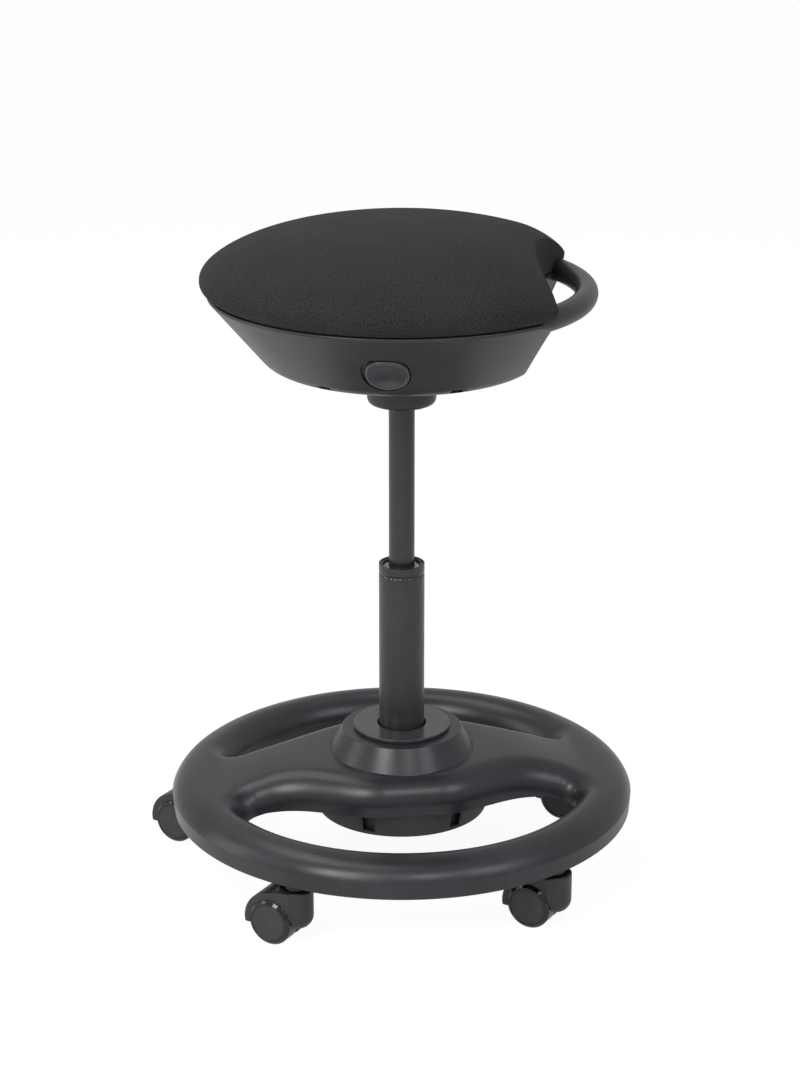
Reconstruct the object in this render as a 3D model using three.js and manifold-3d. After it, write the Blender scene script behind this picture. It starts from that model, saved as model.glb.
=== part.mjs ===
// Perch stool: a domed seat with a carrying handle, a gas lift and a foot ring on five twin-wheel casters.
// Lengths are in millimetres and angles in degrees, +Z is up and the floor is at Z = 0.
// The foot ring's bridge runs along X. Every piece is modelled round the column's axis.
import * as THREE from "three";
import { mergeVertices } from "three/addons/utils/BufferGeometryUtils.js";
import Module from "manifold-3d";

// Fits shared by all pieces
const seatGap = 0.3; // left between two pieces that touch
const overrun = 6; // how far a cutter runs past the face that it opens

// Facets round a full circle
const wideSides = 40;
const cushionSides = 56;
const hubSides = 28;
const tubeSides = 20;
const wheelSides = 18;
const smallSides = 10;
const pinSides = 8;
const facetTolerance = 0.06; // slivers thinner than this are merged into their neighbours

// Turns of the pieces, as photographed
const seatTurn = -12.8; // the handle's direction, from the bridge's
const casterAngles = [-126, -54, 18, 90, 162]; // places round the ring
const casterTurn = 142; // the way that all wheel pairs trail

// Casters
const wheelRadius = 25;
const wheelFaceRadius = 21.5;
const wheelWidth = 20;
const wheelBevel = 3;
const wheelDish = 0.6; // depth of the flat face's fine rim line
const wheelRunningGap = 0.5;
const axleRadius = 3;
const axleLength = 41;
const webThickness = 8;
const casterTrail = 20;
const hoodWidth = 37;
const hoodGap = 2.6; // between a wheel's tread and the hood
const hoodWall = 2.4;
const hoodNeckRadius = 18.5;
const hoodHeight = 62;
const hoodNeckDrop = 31; // length of the neck's straight back
const hoodNeckRound = 14;
const hoodTopEdge = 1;
const hoodLipAngle = -12; // the fender's arc over the wheels, from behind
const hoodBackAngle = 72;
const hoodUnderAngle = -60; // start of the neck's round underside
const stemRadius = 5.5;
const stemCollarRadius = 12;
const stemCollarHeight = 5.4;
const stemInHood = 12;
const stemInRing = 24;
const stemChamfer = 1;

// Foot ring: an open channel below, with a bridge that rises to the hub
const ringRadius = 254.5;
const ringFootRadius = 249.5;
const ringHeight = 41; // crown above the ring's lower edge
const ringWallRise = 17; // height of the widest line above the lower edge
const crownRadius = 226;
const ringInnerRadius = 199;
const ringWall = 4;
const innerSkirtLift = 16; // the inner skirt ends above the outer one
const casterCircleRadius = 235;
const bossRadius = 13;
const hubTopRadius = 65.7;
const hubBaseRadius = 82;
const hubBaseRise = 64; // foot of the hub's cone above the ring's lower edge
const hubConeHeight = 26; // from there to the hub's flat top
const hubTopEdge = 1.5;
const bridgeEndShare = 1.2; // power of the bridge's fall from the hub to the crown
const bridgeUnderRise = 26; // bridge's lower edge at the hub, above the ring's lower edge
const bridgeUnderRadius = 102;
const openingShoulder = 48; // half length of the bridge's broad middle
const openingHubHalf = 102; // half width of the bridge at the hub
const openingWaistHalf = 59; // half width of the bridge at its waist
const openingCorner = 24; // corner radius of the openings
const openingFlare = 29; // rounding of the openings' upper edges
const openingDraft = 2.5; // how much wider the openings are below
const ribThickness = 3;
const ribCount = 10;

// Hub drum, socket sleeve and cover disc
const drumTopRadius = 98;
const drumFootRadius = 90;
const drumFootHeight = 67; // its foot above the floor
const drumWall = 3;
const drumSlotWidth = 12;
const drumSlotSill = 5;
const drumSlotCount = 6;
const drumHoleRadius = 22;
const hubBossWall = 6;
const sleeveWall = 5;
const discRadius = 53.7;
const discThickness = 4.2;
const discHoleRadius = 27;
const discLip = 2;
const discEdge = 1;

// Gas lift
const tubeRadius = 25;
const tubeWall = 1.8;
const tubeLength = 278;
const tubeFootRadius = 24.2;
const tubeTaperLength = 70;
const tubeFloor = 4;
const crimpDrop = 9; // from the tube's top to its crimped groove
const crimpDepth = 0.8;
const crimpHeight = 3;
const bushHeight = 62;
const bushDrop = 5; // from the tube's top to the bush's top
const crownRingHeight = 4;
const crownRingWall = 2.6;
const crownNotchCount = 10;
const crownNotchDepth = 1.6;
const crownNotchWidth = 3.4;
const wiperHeight = 1.6;
const pistonRadius = 14;
const pistonWall = 2.5;
const pistonRunningGap = 0.4;
const pistonTaper = 0.7; // how much thinner the tapered top is
const pistonTaperLength = 62;
const pistonInTube = 84;
const pistonCap = 34; // closed length above the bore
const liftStroke = 160;
const glandHeight = 14;
const rodRadius = 5;
const rodHeadHeight = 10;
const rodHeadInPiston = 30; // head above the piston's foot
const raceRadius = 15;
const raceHeight = 2;
const cageHeight = 4;
const ballCount = 6;
const ballRadius = 2.4;
const bumperRadius = 12;
const bumperHeight = 7;
const clipHeight = 2;
const clipRadius = 9;
const clipGrooveDepth = 1;
const rodTail = 2;
const valveRadius = 4;
const valveDepth = 22;
const valveRise = 5; // valve pin above the piston's top

// Seat: shell with its handle, board, cushion and mounting plate
const collarFootHeight = 531; // collar's foot above the floor, with the lift up
const collarFootRadius = 34.5;
const collarTopRadius = 37.5;
const collarHeight = 46;
const collarWall = 3;
const collarRound = 6;
const collarHoleGap = 1.5;
const shellHeight = 77;
const shellFootRadius = 142;
const shellFootRound = 9;
const shellRimRadius = 202;
const shellWall = 3.2;
const rimBand = 2;
const boardThickness = 9;
const boardRecess = 4; // board's top below the rim
const boardLedge = 8;
const boardGap = 1.2; // round the board and the cushion's foot
const snapSlotWidth = 13;
const snapSlotHeight = 5;
const snapSlotAngles = [-118, -62, 62, 118];
const notchDepth = 64; // from the rim's circle in to the notch's middle
const notchRadius = 312; // curve of the notch's wall
const notchDraft = 16; // how far the notch's wall leans in over the shell's height
const handleInset = 8; // from the rim's circle in to the middle of the handle's bar
const handleBar = 12.3; // half thickness of the handle's round bar
const handleGap = 0.8; // between the handle's roots and the cushion
const handleReach = 41; // half angle that the bar spans, into the shell at both ends
const cushionOverhang = 11.5; // how far the cushion bulges past the rim
const cushionFootInset = 9;
const cushionCrown = 72; // crown's height above the rim
const cushionBulgeHeight = 14; // height of the widest line above the rim
const cushionNotchGap = 1.2;
const notchPull = 13; // how far the crown is pulled down at the notch
const notchPullReach = 46; // over this width
const pullShare = 0.8; // and by no more than this share of the crown's rise
const cornerShare = 0.035; // softness of the board's corners
const cushionSideShares = [0.3, 0.4, 0.75]; // lower bulge's inset and height, then the widest line's foot
const crownShares = [0.993, 0.97, 0.93, 0.87, 0.78, 0.65, 0.46, 0.22]; // rings of the crown
const crownSlopeShare = 0.38; // how much of the crown's fall is a slope and not a shoulder
const plateLength = 150;
const plateWidth = 120;
const plateThickness = 3;
const plateCorner = 14;
const plateBossHeight = 7;
const plateBossRadius = 7.5;
const socketWall = 4;
const screwHeadRadius = 5.5;
const screwHeadHeight = 3.2;
const screwRadius = 2.6;
const screwInset = 14;
const screwLength = 7;

// Release button, lever and valve pin
const buttonHeightShare = 0.375; // button's centre, as a share of the shell's height
const buttonWidth = 45;
const buttonLength = 48;
const buttonUpperShare = 0.72; // powers of the pad's outline, 1 for an ellipse and less for squarer
const buttonLowerShare = 0.9;
const buttonDepth = 13;
const buttonGap = 0.8;
const buttonRecess = 3; // bezel's width round the pad
const buttonDish = 1.6;
const buttonTravel = 5;
const buttonGuideWall = 2;
const buttonStemRadius = 5;
const buttonStemReach = 28; // from the shell's face in to the middle of the stem's nose
const leverWidth = 8;
const leverDepth = 7;
const leverPivotDistance = 65;
const leverPivotRise = 12; // pivot above the mounting plate
const leverHubRadius = 6;
const leverPinRadius = 2.5;
const earThickness = 3;
const earRadius = 6;

// Unit vectors and small helpers
const toRadians = THREE.MathUtils.degToRad;
const polar = (radius, angle, height = 0) =>
  new THREE.Vector3(radius * Math.cos(toRadians(angle)), radius * Math.sin(toRadians(angle)), height);

const wasm = await Module();
wasm.setup();

// A closed geometry as a solid that can be cut and joined.
function solid(geometry) {
  const bare = new THREE.BufferGeometry().setAttribute("position", geometry.getAttribute("position"));
  bare.setIndex(geometry.index);
  const merged = mergeVertices(bare);
  return new wasm.Manifold(
    new wasm.Mesh({
      numProp: 3,
      vertProperties: merged.attributes.position.array,
      triVerts: new Uint32Array(merged.index.array),
    }),
  );
}

// A solid as the geometry of a mesh.
function geometryOf(body) {
  const { vertProperties, triVerts } = body.simplify(facetTolerance).getMesh();
  const geometry = new THREE.BufferGeometry();
  geometry.setAttribute("position", new THREE.BufferAttribute(vertProperties, 3));
  geometry.setIndex(new THREE.BufferAttribute(triVerts, 1));
  const flat = geometry.toNonIndexed();
  flat.computeVertexNormals();
  return flat;
}

const joined = (...bodies) => bodies.reduce((sum, body) => sum.add(body));
const cut = (body, ...cutters) => cutters.reduce((rest, cutter) => rest.subtract(cutter), body);

// A body of revolution about Z from [radius, height] pairs that run anticlockwise round its section.
function turned(section, sides) {
  const outline = section.map(([radius, height]) => new THREE.Vector2(radius, height));
  outline.push(outline[0].clone());
  return new THREE.LatheGeometry(outline, sides).rotateX(Math.PI / 2);
}

// A plain disc or pin about Z.
function disc(radius, foot, top, sides) {
  return turned([[0, foot], [radius, foot], [radius, top], [0, top]], sides);
}

// A plain ring or tube about Z.
function ring(inner, outer, foot, top, sides) {
  return turned([[inner, foot], [outer, foot], [outer, top], [inner, top]], sides);
}

// A box whose middle is at a point.
function block(length, width, height, middle = new THREE.Vector3()) {
  return new THREE.BoxGeometry(length, width, height).translate(middle.x, middle.y, middle.z);
}

// Points of an arc in a section: centre, two radii, and the angles that it runs between.
function arc([x, y], radiusX, radiusY, from, to, steps) {
  return Array.from({ length: steps + 1 }, (_, i) => {
    const angle = toRadians(from + ((to - from) * i) / steps);
    return [x + radiusX * Math.cos(angle), y + radiusY * Math.sin(angle)];
  });
}

// A closed body through rings of points from its foot up, with a flat cap at each end.
function lofted(rings) {
  const count = rings[0].length;
  const positions = rings.flat().flatMap((point) => [point.x, point.y, point.z]);
  const flat = (points) => points.map((point) => new THREE.Vector2(point.x, point.y));
  const caps = (points) => THREE.ShapeUtils.triangulateShape(flat(points), []);
  const last = (rings.length - 1) * count;
  const faces = [];
  caps(rings[0]).forEach(([a, b, c]) => faces.push(a, c, b));
  caps(rings[rings.length - 1]).forEach(([a, b, c]) => faces.push(last + a, last + b, last + c));
  for (let level = 0; level < last; level += count) {
    for (let i = 0; i < count; i++) {
      const next = (i + 1) % count;
      faces.push(level + i, level + next, level + count + next);
      faces.push(level + i, level + count + next, level + count + i);
    }
  }
  const geometry = new THREE.BufferGeometry();
  geometry.setAttribute("position", new THREE.Float32BufferAttribute(positions, 3));
  return geometry.setIndex(faces);
}

// A closed outline moved sideways, outwards where the distance is above zero.
function offset(outline, distance) {
  const count = outline.length;
  return outline.map((point, i) => {
    const before = outline[(i + count - 1) % count];
    const after = outline[(i + 1) % count];
    const along = new THREE.Vector2().subVectors(after, before).normalize();
    return new THREE.Vector2(point.x + distance * along.y, point.y - distance * along.x);
  });
}

// A flat outline lifted to a height that may vary along it.
function raised(outline, height) {
  return outline.map((point) => new THREE.Vector3(point.x, point.y, height(point)));
}

// The finishes, each a colour, a roughness and a metalness
function finish(color, roughness, metalness = 0) {
  return new THREE.MeshStandardMaterial({ color, roughness, metalness });
}
const ringPlastic = finish(0x3d3d40, 0.55);
const drumPlastic = finish(0x2b2b2c, 0.6);
const glossPlastic = finish(0x242426, 0.25);
const blackPaint = finish(0x2c2c2b, 0.42, 0.3);
const blackPlastic = finish(0x1d1d1e, 0.5);
const greySteel = finish(0x8a8c8e, 0.35, 0.9);
const darkSteel = finish(0x55575a, 0.45, 0.8);
const shellPlastic = finish(0x3b3b3e, 0.55);
const weave = finish(0x232325, 0.95);
const boardPly = finish(0x8d7350, 0.8);
const wheelFacePlastic = finish(0x333335, 0.6);
const wheelTread = finish(0x151517, 0.2);
const softRubber = finish(0x1b1b1b, 0.85);

const stool = new THREE.Group();

function place(name, geometry, material, parent) {
  const mesh = new THREE.Mesh(geometry, material);
  mesh.name = name;
  parent.add(mesh);
  return mesh;
}

// Heights that follow from the sizes above
const ringFoot = hoodHeight + seatGap + stemCollarHeight + seatGap;
const crownHeight = ringFoot + ringHeight;
const hubBase = ringFoot + hubBaseRise;
const hubTop = hubBase + hubConeHeight;
const bridgeUnder = ringFoot + bridgeUnderRise;
const sleeveRadius = tubeRadius + seatGap + sleeveWall;
const hubBoreRadius = sleeveRadius + seatGap;
const hubBossRadius = hubBoreRadius + hubBossWall;
const drumFloorTop = drumFootHeight + drumWall;
const hubBossFoot = drumFloorTop + seatGap;

// Foot ring

// Height of the ring's and the bridge's upper face at a distance from the axis.
function upperFace(radius) {
  const share = THREE.MathUtils.clamp((radius - hubBaseRadius) / (ringInnerRadius - hubBaseRadius), 0, 1);
  return hubBase - (hubBase - crownHeight) * share ** bridgeEndShare;
}

// Outline of the front opening, from its left end anticlockwise.
function openingOutline() {
  const reach = ringInnerRadius - openingCorner;
  const cornerY = -(openingWaistHalf + openingCorner);
  const cornerX = Math.sqrt(reach ** 2 - cornerY ** 2);
  const cornerAngle = THREE.MathUtils.radToDeg(Math.atan2(cornerY, cornerX));
  const outer = arc([0, 0], ringInnerRadius, ringInnerRadius, -180 - cornerAngle, cornerAngle, 12);
  const right = arc([cornerX, cornerY], openingCorner, openingCorner, cornerAngle, 90, 4);
  const left = arc([-cornerX, cornerY], openingCorner, openingCorner, 90, 180 - cornerAngle, 4);
  const steps = 10;
  const bridge = Array.from({ length: steps - 1 }, (_, i) => {
    const x = cornerX - (2 * cornerX * (i + 1)) / steps;
    const share = THREE.MathUtils.clamp((Math.abs(x) - openingShoulder) / (cornerX - openingShoulder), 0, 1);
    const swell = (1 + Math.cos(Math.PI * share)) / 2;
    return [x, -openingWaistHalf - (openingHubHalf - openingWaistHalf) * swell];
  });
  const points = [...outer, ...right.slice(1), ...bridge, ...left.slice(0, -1)];
  return points.map(([x, y]) => new THREE.Vector2(x, y));
}

// The space of the front opening, with its drafted wall and its rounded upper edge,
// seen from inside a wall of the given thickness.
function openingSpace(wall, flareAngles) {
  const outline = openingOutline();
  const lower = raised(offset(outline, openingDraft + wall), () => ringFoot - overrun);
  const flares = flareAngles.map((angle) => {
    const out = wall + openingFlare * (1 - Math.cos(toRadians(angle)));
    const rise = openingFlare * (Math.sin(toRadians(angle)) - 1) - wall;
    return raised(offset(outline, out), (point) => upperFace(point.length()) + rise);
  });
  const top = flares[flares.length - 1].map((point) => new THREE.Vector3(point.x, point.y, hubTop + overrun));
  return solid(lofted([lower, ...flares, top]));
}

function footRingGeometry() {
  const innerSkirtFoot = ringFoot + innerSkirtLift;
  const widest = ringFoot + ringWallRise;
  const bridgeSteps = 4;
  const bridge = Array.from({ length: bridgeSteps }, (_, i) => {
    const radius = ringInnerRadius + ((hubBaseRadius - ringInnerRadius) * i) / (bridgeSteps - 1);
    return [radius, upperFace(radius)];
  });
  const shoulder = arc([crownRadius, widest], ringRadius - crownRadius, crownHeight - widest, 0, 90, 5);
  const body = turned(
    [
      [hubBoreRadius, hubBossFoot],
      [hubBossRadius, hubBossFoot],
      [hubBossRadius, bridgeUnder],
      [bridgeUnderRadius, bridgeUnder],
      [ringInnerRadius, innerSkirtFoot],
      [ringInnerRadius + openingDraft + ringWall, innerSkirtFoot],
      [ringFootRadius - ringWall, ringFoot],
      [ringFootRadius, ringFoot],
      ...shoulder,
      ...bridge,
      [hubTopRadius + hubTopEdge, hubTop - hubTopEdge],
      [hubTopRadius, hubTop],
      [hubBoreRadius, hubTop],
    ],
    wideSides,
  );
  const front = openingSpace(0, [0, 30, 56, 80]);
  const back = front.rotate([0, 0, 180]);

  // The hollow under the upper face, with the bosses and ribs left standing in it
  const deep = ringFoot - overrun;
  const hollowShoulder = arc(
    [crownRadius, widest],
    ringRadius - crownRadius - ringWall,
    crownHeight - widest - ringWall,
    0,
    90,
    2,
  );
  const hollow = turned(
    [
      [hubBossRadius, deep],
      [ringFootRadius - ringWall, deep],
      ...hollowShoulder,
      ...[bridge[0], bridge[bridgeSteps - 1]].map(([radius, height]) => [radius, height - ringWall]),
      [hubTopRadius - ringWall, hubTop - ringWall],
      [hubBossRadius, hubTop - ringWall],
    ],
    wideSides,
  );
  const wallFront = openingSpace(ringWall, [0, 80]);
  const wallBack = wallFront.rotate([0, 0, 180]);
  const bosses = casterAngles.map((angle) => {
    const { x, y } = polar(casterCircleRadius, angle);
    return solid(disc(bossRadius, deep - overrun, crownHeight + overrun, smallSides).translate(x, y, 0));
  });
  const ribs = Array.from({ length: ribCount }, (_, i) => {
    const rib = block(ringRadius - hubBossRadius, ribThickness, hubTop);
    rib.translate((ringRadius + hubBossRadius) / 2, 0, hubTop / 2 + innerSkirtFoot + ribThickness);
    return solid(rib.rotateZ(toRadians((360 * (i + 0.5)) / ribCount)));
  });
  const channel = cut(solid(hollow), wallFront, wallBack, ...bosses, ...ribs);

  const sockets = casterAngles.map((angle) => {
    const { x, y } = polar(casterCircleRadius, angle);
    const depth = ringFoot + stemInRing + seatGap;
    return solid(disc(stemRadius + seatGap, deep, depth, smallSides).translate(x, y, 0));
  });
  return geometryOf(cut(solid(body), front, back, channel, ...sockets));
}
place("foot_ring", footRingGeometry(), ringPlastic, stool);

// Hub drum: a slotted cup that hangs from the hub's boss and hides the lift's foot
function hubDrumGeometry() {
  const top = bridgeUnder - seatGap;
  const cup = turned(
    [
      [drumHoleRadius, drumFootHeight],
      [drumFootRadius, drumFootHeight],
      [drumTopRadius, top],
      [drumTopRadius - drumWall, top],
      [drumFootRadius - drumWall, drumFloorTop],
      [drumHoleRadius, drumFloorTop],
    ],
    hubSides,
  );
  const sill = drumFootHeight + drumSlotSill;
  const slots = Array.from({ length: drumSlotCount }, (_, i) => {
    const slot = block(drumTopRadius, drumSlotWidth, top + overrun - sill);
    slot.translate(drumTopRadius, 0, (top + overrun + sill) / 2);
    return solid(slot.rotateZ(toRadians((360 * i) / drumSlotCount)));
  });
  return geometryOf(cut(solid(cup), ...slots));
}
place("hub_drum", hubDrumGeometry(), drumPlastic, stool);

const tubeFoot = drumFloorTop + seatGap + clipHeight;
const tubeTop = tubeFoot + tubeLength;
const sleeveTop = hubTop - discLip - seatGap;

// Steel socket in the hub, which grips the lift's tapered foot
place(
  "hub_sleeve",
  turned(
    [
      [tubeFootRadius + seatGap, hubBossFoot],
      [sleeveRadius, hubBossFoot],
      [sleeveRadius, sleeveTop],
      [tubeRadius + seatGap, sleeveTop],
      [tubeRadius + seatGap, tubeFoot + tubeTaperLength],
      [tubeFootRadius + seatGap, tubeFoot],
    ],
    tubeSides,
  ),
  darkSteel,
  stool,
);

// Loose cover disc on the hub, with a lip that centres it in the bore
const discFoot = hubTop + seatGap;
place(
  "hub_cover_disc",
  turned(
    [
      [discHoleRadius, discFoot - discLip],
      [sleeveRadius, discFoot - discLip],
      [sleeveRadius, discFoot],
      [discRadius, discFoot],
      [discRadius, discFoot + discThickness - discEdge],
      [discRadius - discEdge, discFoot + discThickness],
      [discHoleRadius, discFoot + discThickness],
    ],
    hubSides,
  ),
  glossPlastic,
  stool,
);

// Gas lift, fixed part
const tubeBore = tubeRadius - tubeWall;
const rodHole = rodRadius + seatGap;
const tubeFloorTop = tubeFoot + tubeFloor;
const crimpTop = tubeTop - crimpDrop;
place(
  "outer_tube",
  turned(
    [
      [rodHole, tubeFoot],
      [tubeFootRadius, tubeFoot],
      [tubeRadius, tubeFoot + tubeTaperLength],
      [tubeRadius, crimpTop - crimpHeight],
      [tubeRadius - crimpDepth, crimpTop - crimpHeight / 2],
      [tubeRadius, crimpTop],
      [tubeRadius, tubeTop],
      [tubeBore, tubeTop],
      [tubeBore, tubeFoot + tubeTaperLength],
      [tubeFootRadius - tubeWall, tubeFloorTop],
      [rodHole, tubeFloorTop],
    ],
    tubeSides,
  ),
  blackPaint,
  stool,
);

const bushTop = tubeTop - bushDrop;
const bushRadius = tubeBore - seatGap;
place(
  "guide_bush",
  ring(pistonRadius + pistonRunningGap, bushRadius, bushTop - bushHeight, bushTop, tubeSides),
  blackPlastic,
  stool,
);

// Notched ring that closes the tube's mouth over the bush
function crownRingGeometry() {
  const foot = bushTop + seatGap;
  const top = foot + crownRingHeight;
  const band = solid(ring(bushRadius - crownRingWall, bushRadius, foot, top, tubeSides));
  const notches = Array.from({ length: crownNotchCount }, (_, i) => {
    const notch = block(crownRingWall * 4, crownNotchWidth, crownNotchDepth + overrun);
    notch.translate(bushRadius, 0, top - crownNotchDepth + (crownNotchDepth + overrun) / 2);
    return solid(notch.rotateZ(toRadians((360 * i) / crownNotchCount)));
  });
  return geometryOf(cut(band, ...notches));
}
place("tube_crown_ring", crownRingGeometry(), blackPlastic, stool);

const wiperFoot = bushTop + seatGap;
const wiperRadius = bushRadius - crownRingWall - seatGap;
place(
  "wiper_washer",
  ring(pistonRadius + pistonRunningGap, wiperRadius, wiperFoot, wiperFoot + wiperHeight, tubeSides),
  greySteel,
  stool,
);

// Thrust bearing at the tube's floor, under the rod that turns on it
const lowerRaceFoot = tubeFloorTop + seatGap;
const lowerRaceTop = lowerRaceFoot + raceHeight;
const lowerRace = ring(rodHole, raceRadius, lowerRaceFoot, lowerRaceTop, smallSides);
place("lower_bearing_race", lowerRace, greySteel, stool);

function ballCageGeometry() {
  const middle = lowerRaceTop + seatGap + ballRadius;
  const pitch = (rodHole + raceRadius) / 2;
  const strip = (cageHeight - seatGap) / 4;
  const cageOuter = raceRadius - seatGap;
  const cage = solid(ring(rodHole + seatGap, cageOuter, middle - strip, middle + strip, smallSides));
  const balls = Array.from({ length: ballCount }, (_, i) => {
    const { x, y } = polar(pitch, (360 * i) / ballCount);
    return solid(new THREE.SphereGeometry(ballRadius, 5, 4).rotateX(Math.PI / 2).translate(x, y, middle));
  });
  return geometryOf(joined(cage, ...balls));
}
place("bearing_ball_cage", ballCageGeometry(), greySteel, stool);

const rod = new THREE.Group();
stool.add(rod);
const upperRaceFoot = lowerRaceTop + seatGap + 2 * ballRadius + seatGap;
const upperRaceTop = upperRaceFoot + raceHeight;
const upperRace = ring(rodHole, raceRadius, upperRaceFoot, upperRaceTop, smallSides);
place("upper_bearing_race", upperRace, greySteel, rod);

const bumperFoot = upperRaceTop + seatGap;
const bumperTop = bumperFoot + bumperHeight;
place("bump_stop", ring(rodHole, bumperRadius, bumperFoot, bumperTop, smallSides), softRubber, rod);

// Rod: a groove for the clip at its foot, a collar on the bump stop and the gas piston's head on top
const pistonFoot = tubeTop - pistonInTube;
const headFoot = pistonFoot + rodHeadInPiston;
const pistonBore = pistonRadius - pistonWall;
const clipFoot = tubeFoot - seatGap - clipHeight;
const grooveRadius = rodRadius - clipGrooveDepth;
const rodCollarFoot = bumperTop + seatGap;
place(
  "piston_rod",
  turned(
    [
      [0, clipFoot - seatGap - rodTail],
      [rodRadius, clipFoot - seatGap - rodTail],
      [rodRadius, clipFoot - seatGap],
      [grooveRadius, clipFoot - seatGap],
      [grooveRadius, tubeFoot],
      [rodRadius, tubeFoot],
      [rodRadius, rodCollarFoot],
      [rodRadius + 2 * clipGrooveDepth, rodCollarFoot],
      [rodRadius + 2 * clipGrooveDepth, rodCollarFoot + clipHeight],
      [rodRadius, rodCollarFoot + clipHeight],
      [rodRadius, headFoot],
      [pistonBore - seatGap, headFoot],
      [pistonBore - seatGap, headFoot + rodHeadHeight],
      [0, headFoot + rodHeadHeight],
    ],
    smallSides,
  ),
  greySteel,
  rod,
);

// Retaining clip, open on one side as a spring clip is
function rodClipGeometry() {
  const body = solid(ring(grooveRadius + seatGap, clipRadius, clipFoot, clipFoot + clipHeight, smallSides));
  const mouth = block(clipRadius * 2, grooveRadius, clipHeight * 4);
  mouth.translate(clipRadius, 0, clipFoot);
  return geometryOf(cut(body, solid(mouth)));
}
place("rod_clip", rodClipGeometry(), darkSteel, rod);

// Seat group: all that turns and rises with the piston
const seat = new THREE.Group();
seat.rotation.z = toRadians(seatTurn);
stool.add(seat);

const shellFoot = collarFootHeight + collarHeight + seatGap;
const rimTop = shellFoot + shellHeight;
const plateFoot = shellFoot + shellWall + plateBossHeight + seatGap;
const plateTop = plateFoot + plateThickness;
const pistonTop = plateTop + plateThickness;
const pistonTopRadius = pistonRadius - pistonTaper;
const taperFoot = pistonTop - pistonTaperLength;

place(
  "gas_piston",
  turned(
    [
      [pistonBore, pistonFoot],
      [pistonRadius, pistonFoot],
      [pistonRadius, taperFoot],
      [pistonTopRadius, pistonTop],
      [valveRadius, pistonTop],
      [valveRadius, pistonTop - valveDepth],
      [0, pistonTop - valveDepth],
      [0, pistonTop - pistonCap],
      [pistonBore, pistonTop - pistonCap],
    ],
    tubeSides,
  ),
  blackPaint,
  seat,
);
place(
  "piston_gland",
  ring(rodHole, pistonBore - seatGap, pistonFoot, pistonFoot + glandHeight, smallSides),
  blackPlastic,
  seat,
);

const valveFoot = pistonTop - valveDepth + buttonTravel;
const valveTop = pistonTop + valveRise;
place("valve_pin", disc(valveRadius - seatGap, valveFoot, valveTop, pinSides), greySteel, seat);

// Collar: a cup round the socket, held up by the socket's foot
const collarTop = collarFootHeight + collarHeight;
const collarHole = pistonRadius + collarHoleGap;
const collarCorner = [collarFootRadius - collarRound, collarFootHeight + collarRound];
place(
  "column_collar",
  turned(
    [
      [collarHole, collarFootHeight],
      ...arc(collarCorner, collarRound, collarRound, -90, 0, 3),
      [collarTopRadius, collarTop],
      [collarTopRadius - collarWall, collarTop],
      [collarFootRadius - collarWall, collarFootHeight + collarRound],
      [collarFootRadius - collarRound, collarFootHeight + collarWall],
      [collarHole, collarFootHeight + collarWall],
    ],
    tubeSides,
  ),
  shellPlastic,
  seat,
);

// Mounting plate with the tapered socket that sits on the piston, and two ears for the lever
const socketFoot = collarFootHeight + collarWall + seatGap;
const socketRadius = pistonRadius + seatGap + socketWall;
const plateScrews = [1, -1].flatMap((sideX) =>
  [1, -1].map((sideY) => ({
    x: sideX * (plateLength / 2 - screwInset),
    y: sideY * (plateWidth / 2 - screwInset),
  })),
);
const earOffset = leverWidth / 2 + seatGap + earThickness / 2;
const pivotHeight = plateTop + leverPivotRise;

// A plate with rounded corners, its middle on the axis.
function roundedPlate(length, width, corner, foot, thickness) {
  const shape = new THREE.Shape();
  const x = length / 2 - corner;
  const y = width / 2 - corner;
  shape.absarc(x, y, corner, 0, Math.PI / 2);
  shape.absarc(-x, y, corner, Math.PI / 2, Math.PI);
  shape.absarc(-x, -y, corner, Math.PI, 1.5 * Math.PI);
  shape.absarc(x, -y, corner, 1.5 * Math.PI, 2 * Math.PI);
  const options = { depth: thickness, bevelEnabled: false, curveSegments: 3 };
  return new THREE.ExtrudeGeometry(shape, options).translate(0, 0, foot);
}

function mountingPlateGeometry() {
  const plate = solid(roundedPlate(plateLength, plateWidth, plateCorner, plateFoot, plateThickness));
  const socket = solid(disc(socketRadius, socketFoot, plateTop, tubeSides));
  const bore = turned(
    [
      [0, socketFoot - overrun],
      [pistonRadius + seatGap, socketFoot - overrun],
      [pistonRadius + seatGap, taperFoot],
      [pistonTopRadius + seatGap, pistonTop],
      [pistonTopRadius + seatGap, plateTop + overrun],
      [0, plateTop + overrun],
    ],
    tubeSides,
  );
  const ears = [1, -1].map((side) => {
    const lug = disc(earRadius, -earThickness / 2, earThickness / 2, smallSides).rotateY(Math.PI / 2);
    lug.translate(side * earOffset, -leverPivotDistance, pivotHeight);
    const stand = block(earThickness, 2 * earRadius, leverPivotRise + plateThickness / 2);
    stand.translate(side * earOffset, -leverPivotDistance, (pivotHeight + plateTop - plateThickness / 2) / 2);
    return solid(lug).add(solid(stand));
  });
  const pinHole = disc(leverPinRadius + seatGap, -plateWidth / 2, plateWidth / 2, pinSides);
  pinHole.rotateY(Math.PI / 2).translate(0, -leverPivotDistance, pivotHeight);
  const tongue = block(2 * earOffset + earThickness, 4 * earRadius, plateThickness);
  tongue.translate(0, -leverPivotDistance + earRadius, plateFoot + plateThickness / 2);
  const holes = plateScrews.map(({ x, y }) =>
    solid(disc(screwRadius + seatGap, plateFoot - overrun, plateTop + overrun, pinSides).translate(x, y, 0)),
  );
  const body = joined(plate, solid(tongue), socket, ...ears);
  return geometryOf(cut(body, solid(bore), solid(pinHole), ...holes));
}
place("mounting_plate", mountingPlateGeometry(), darkSteel, seat);

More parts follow.
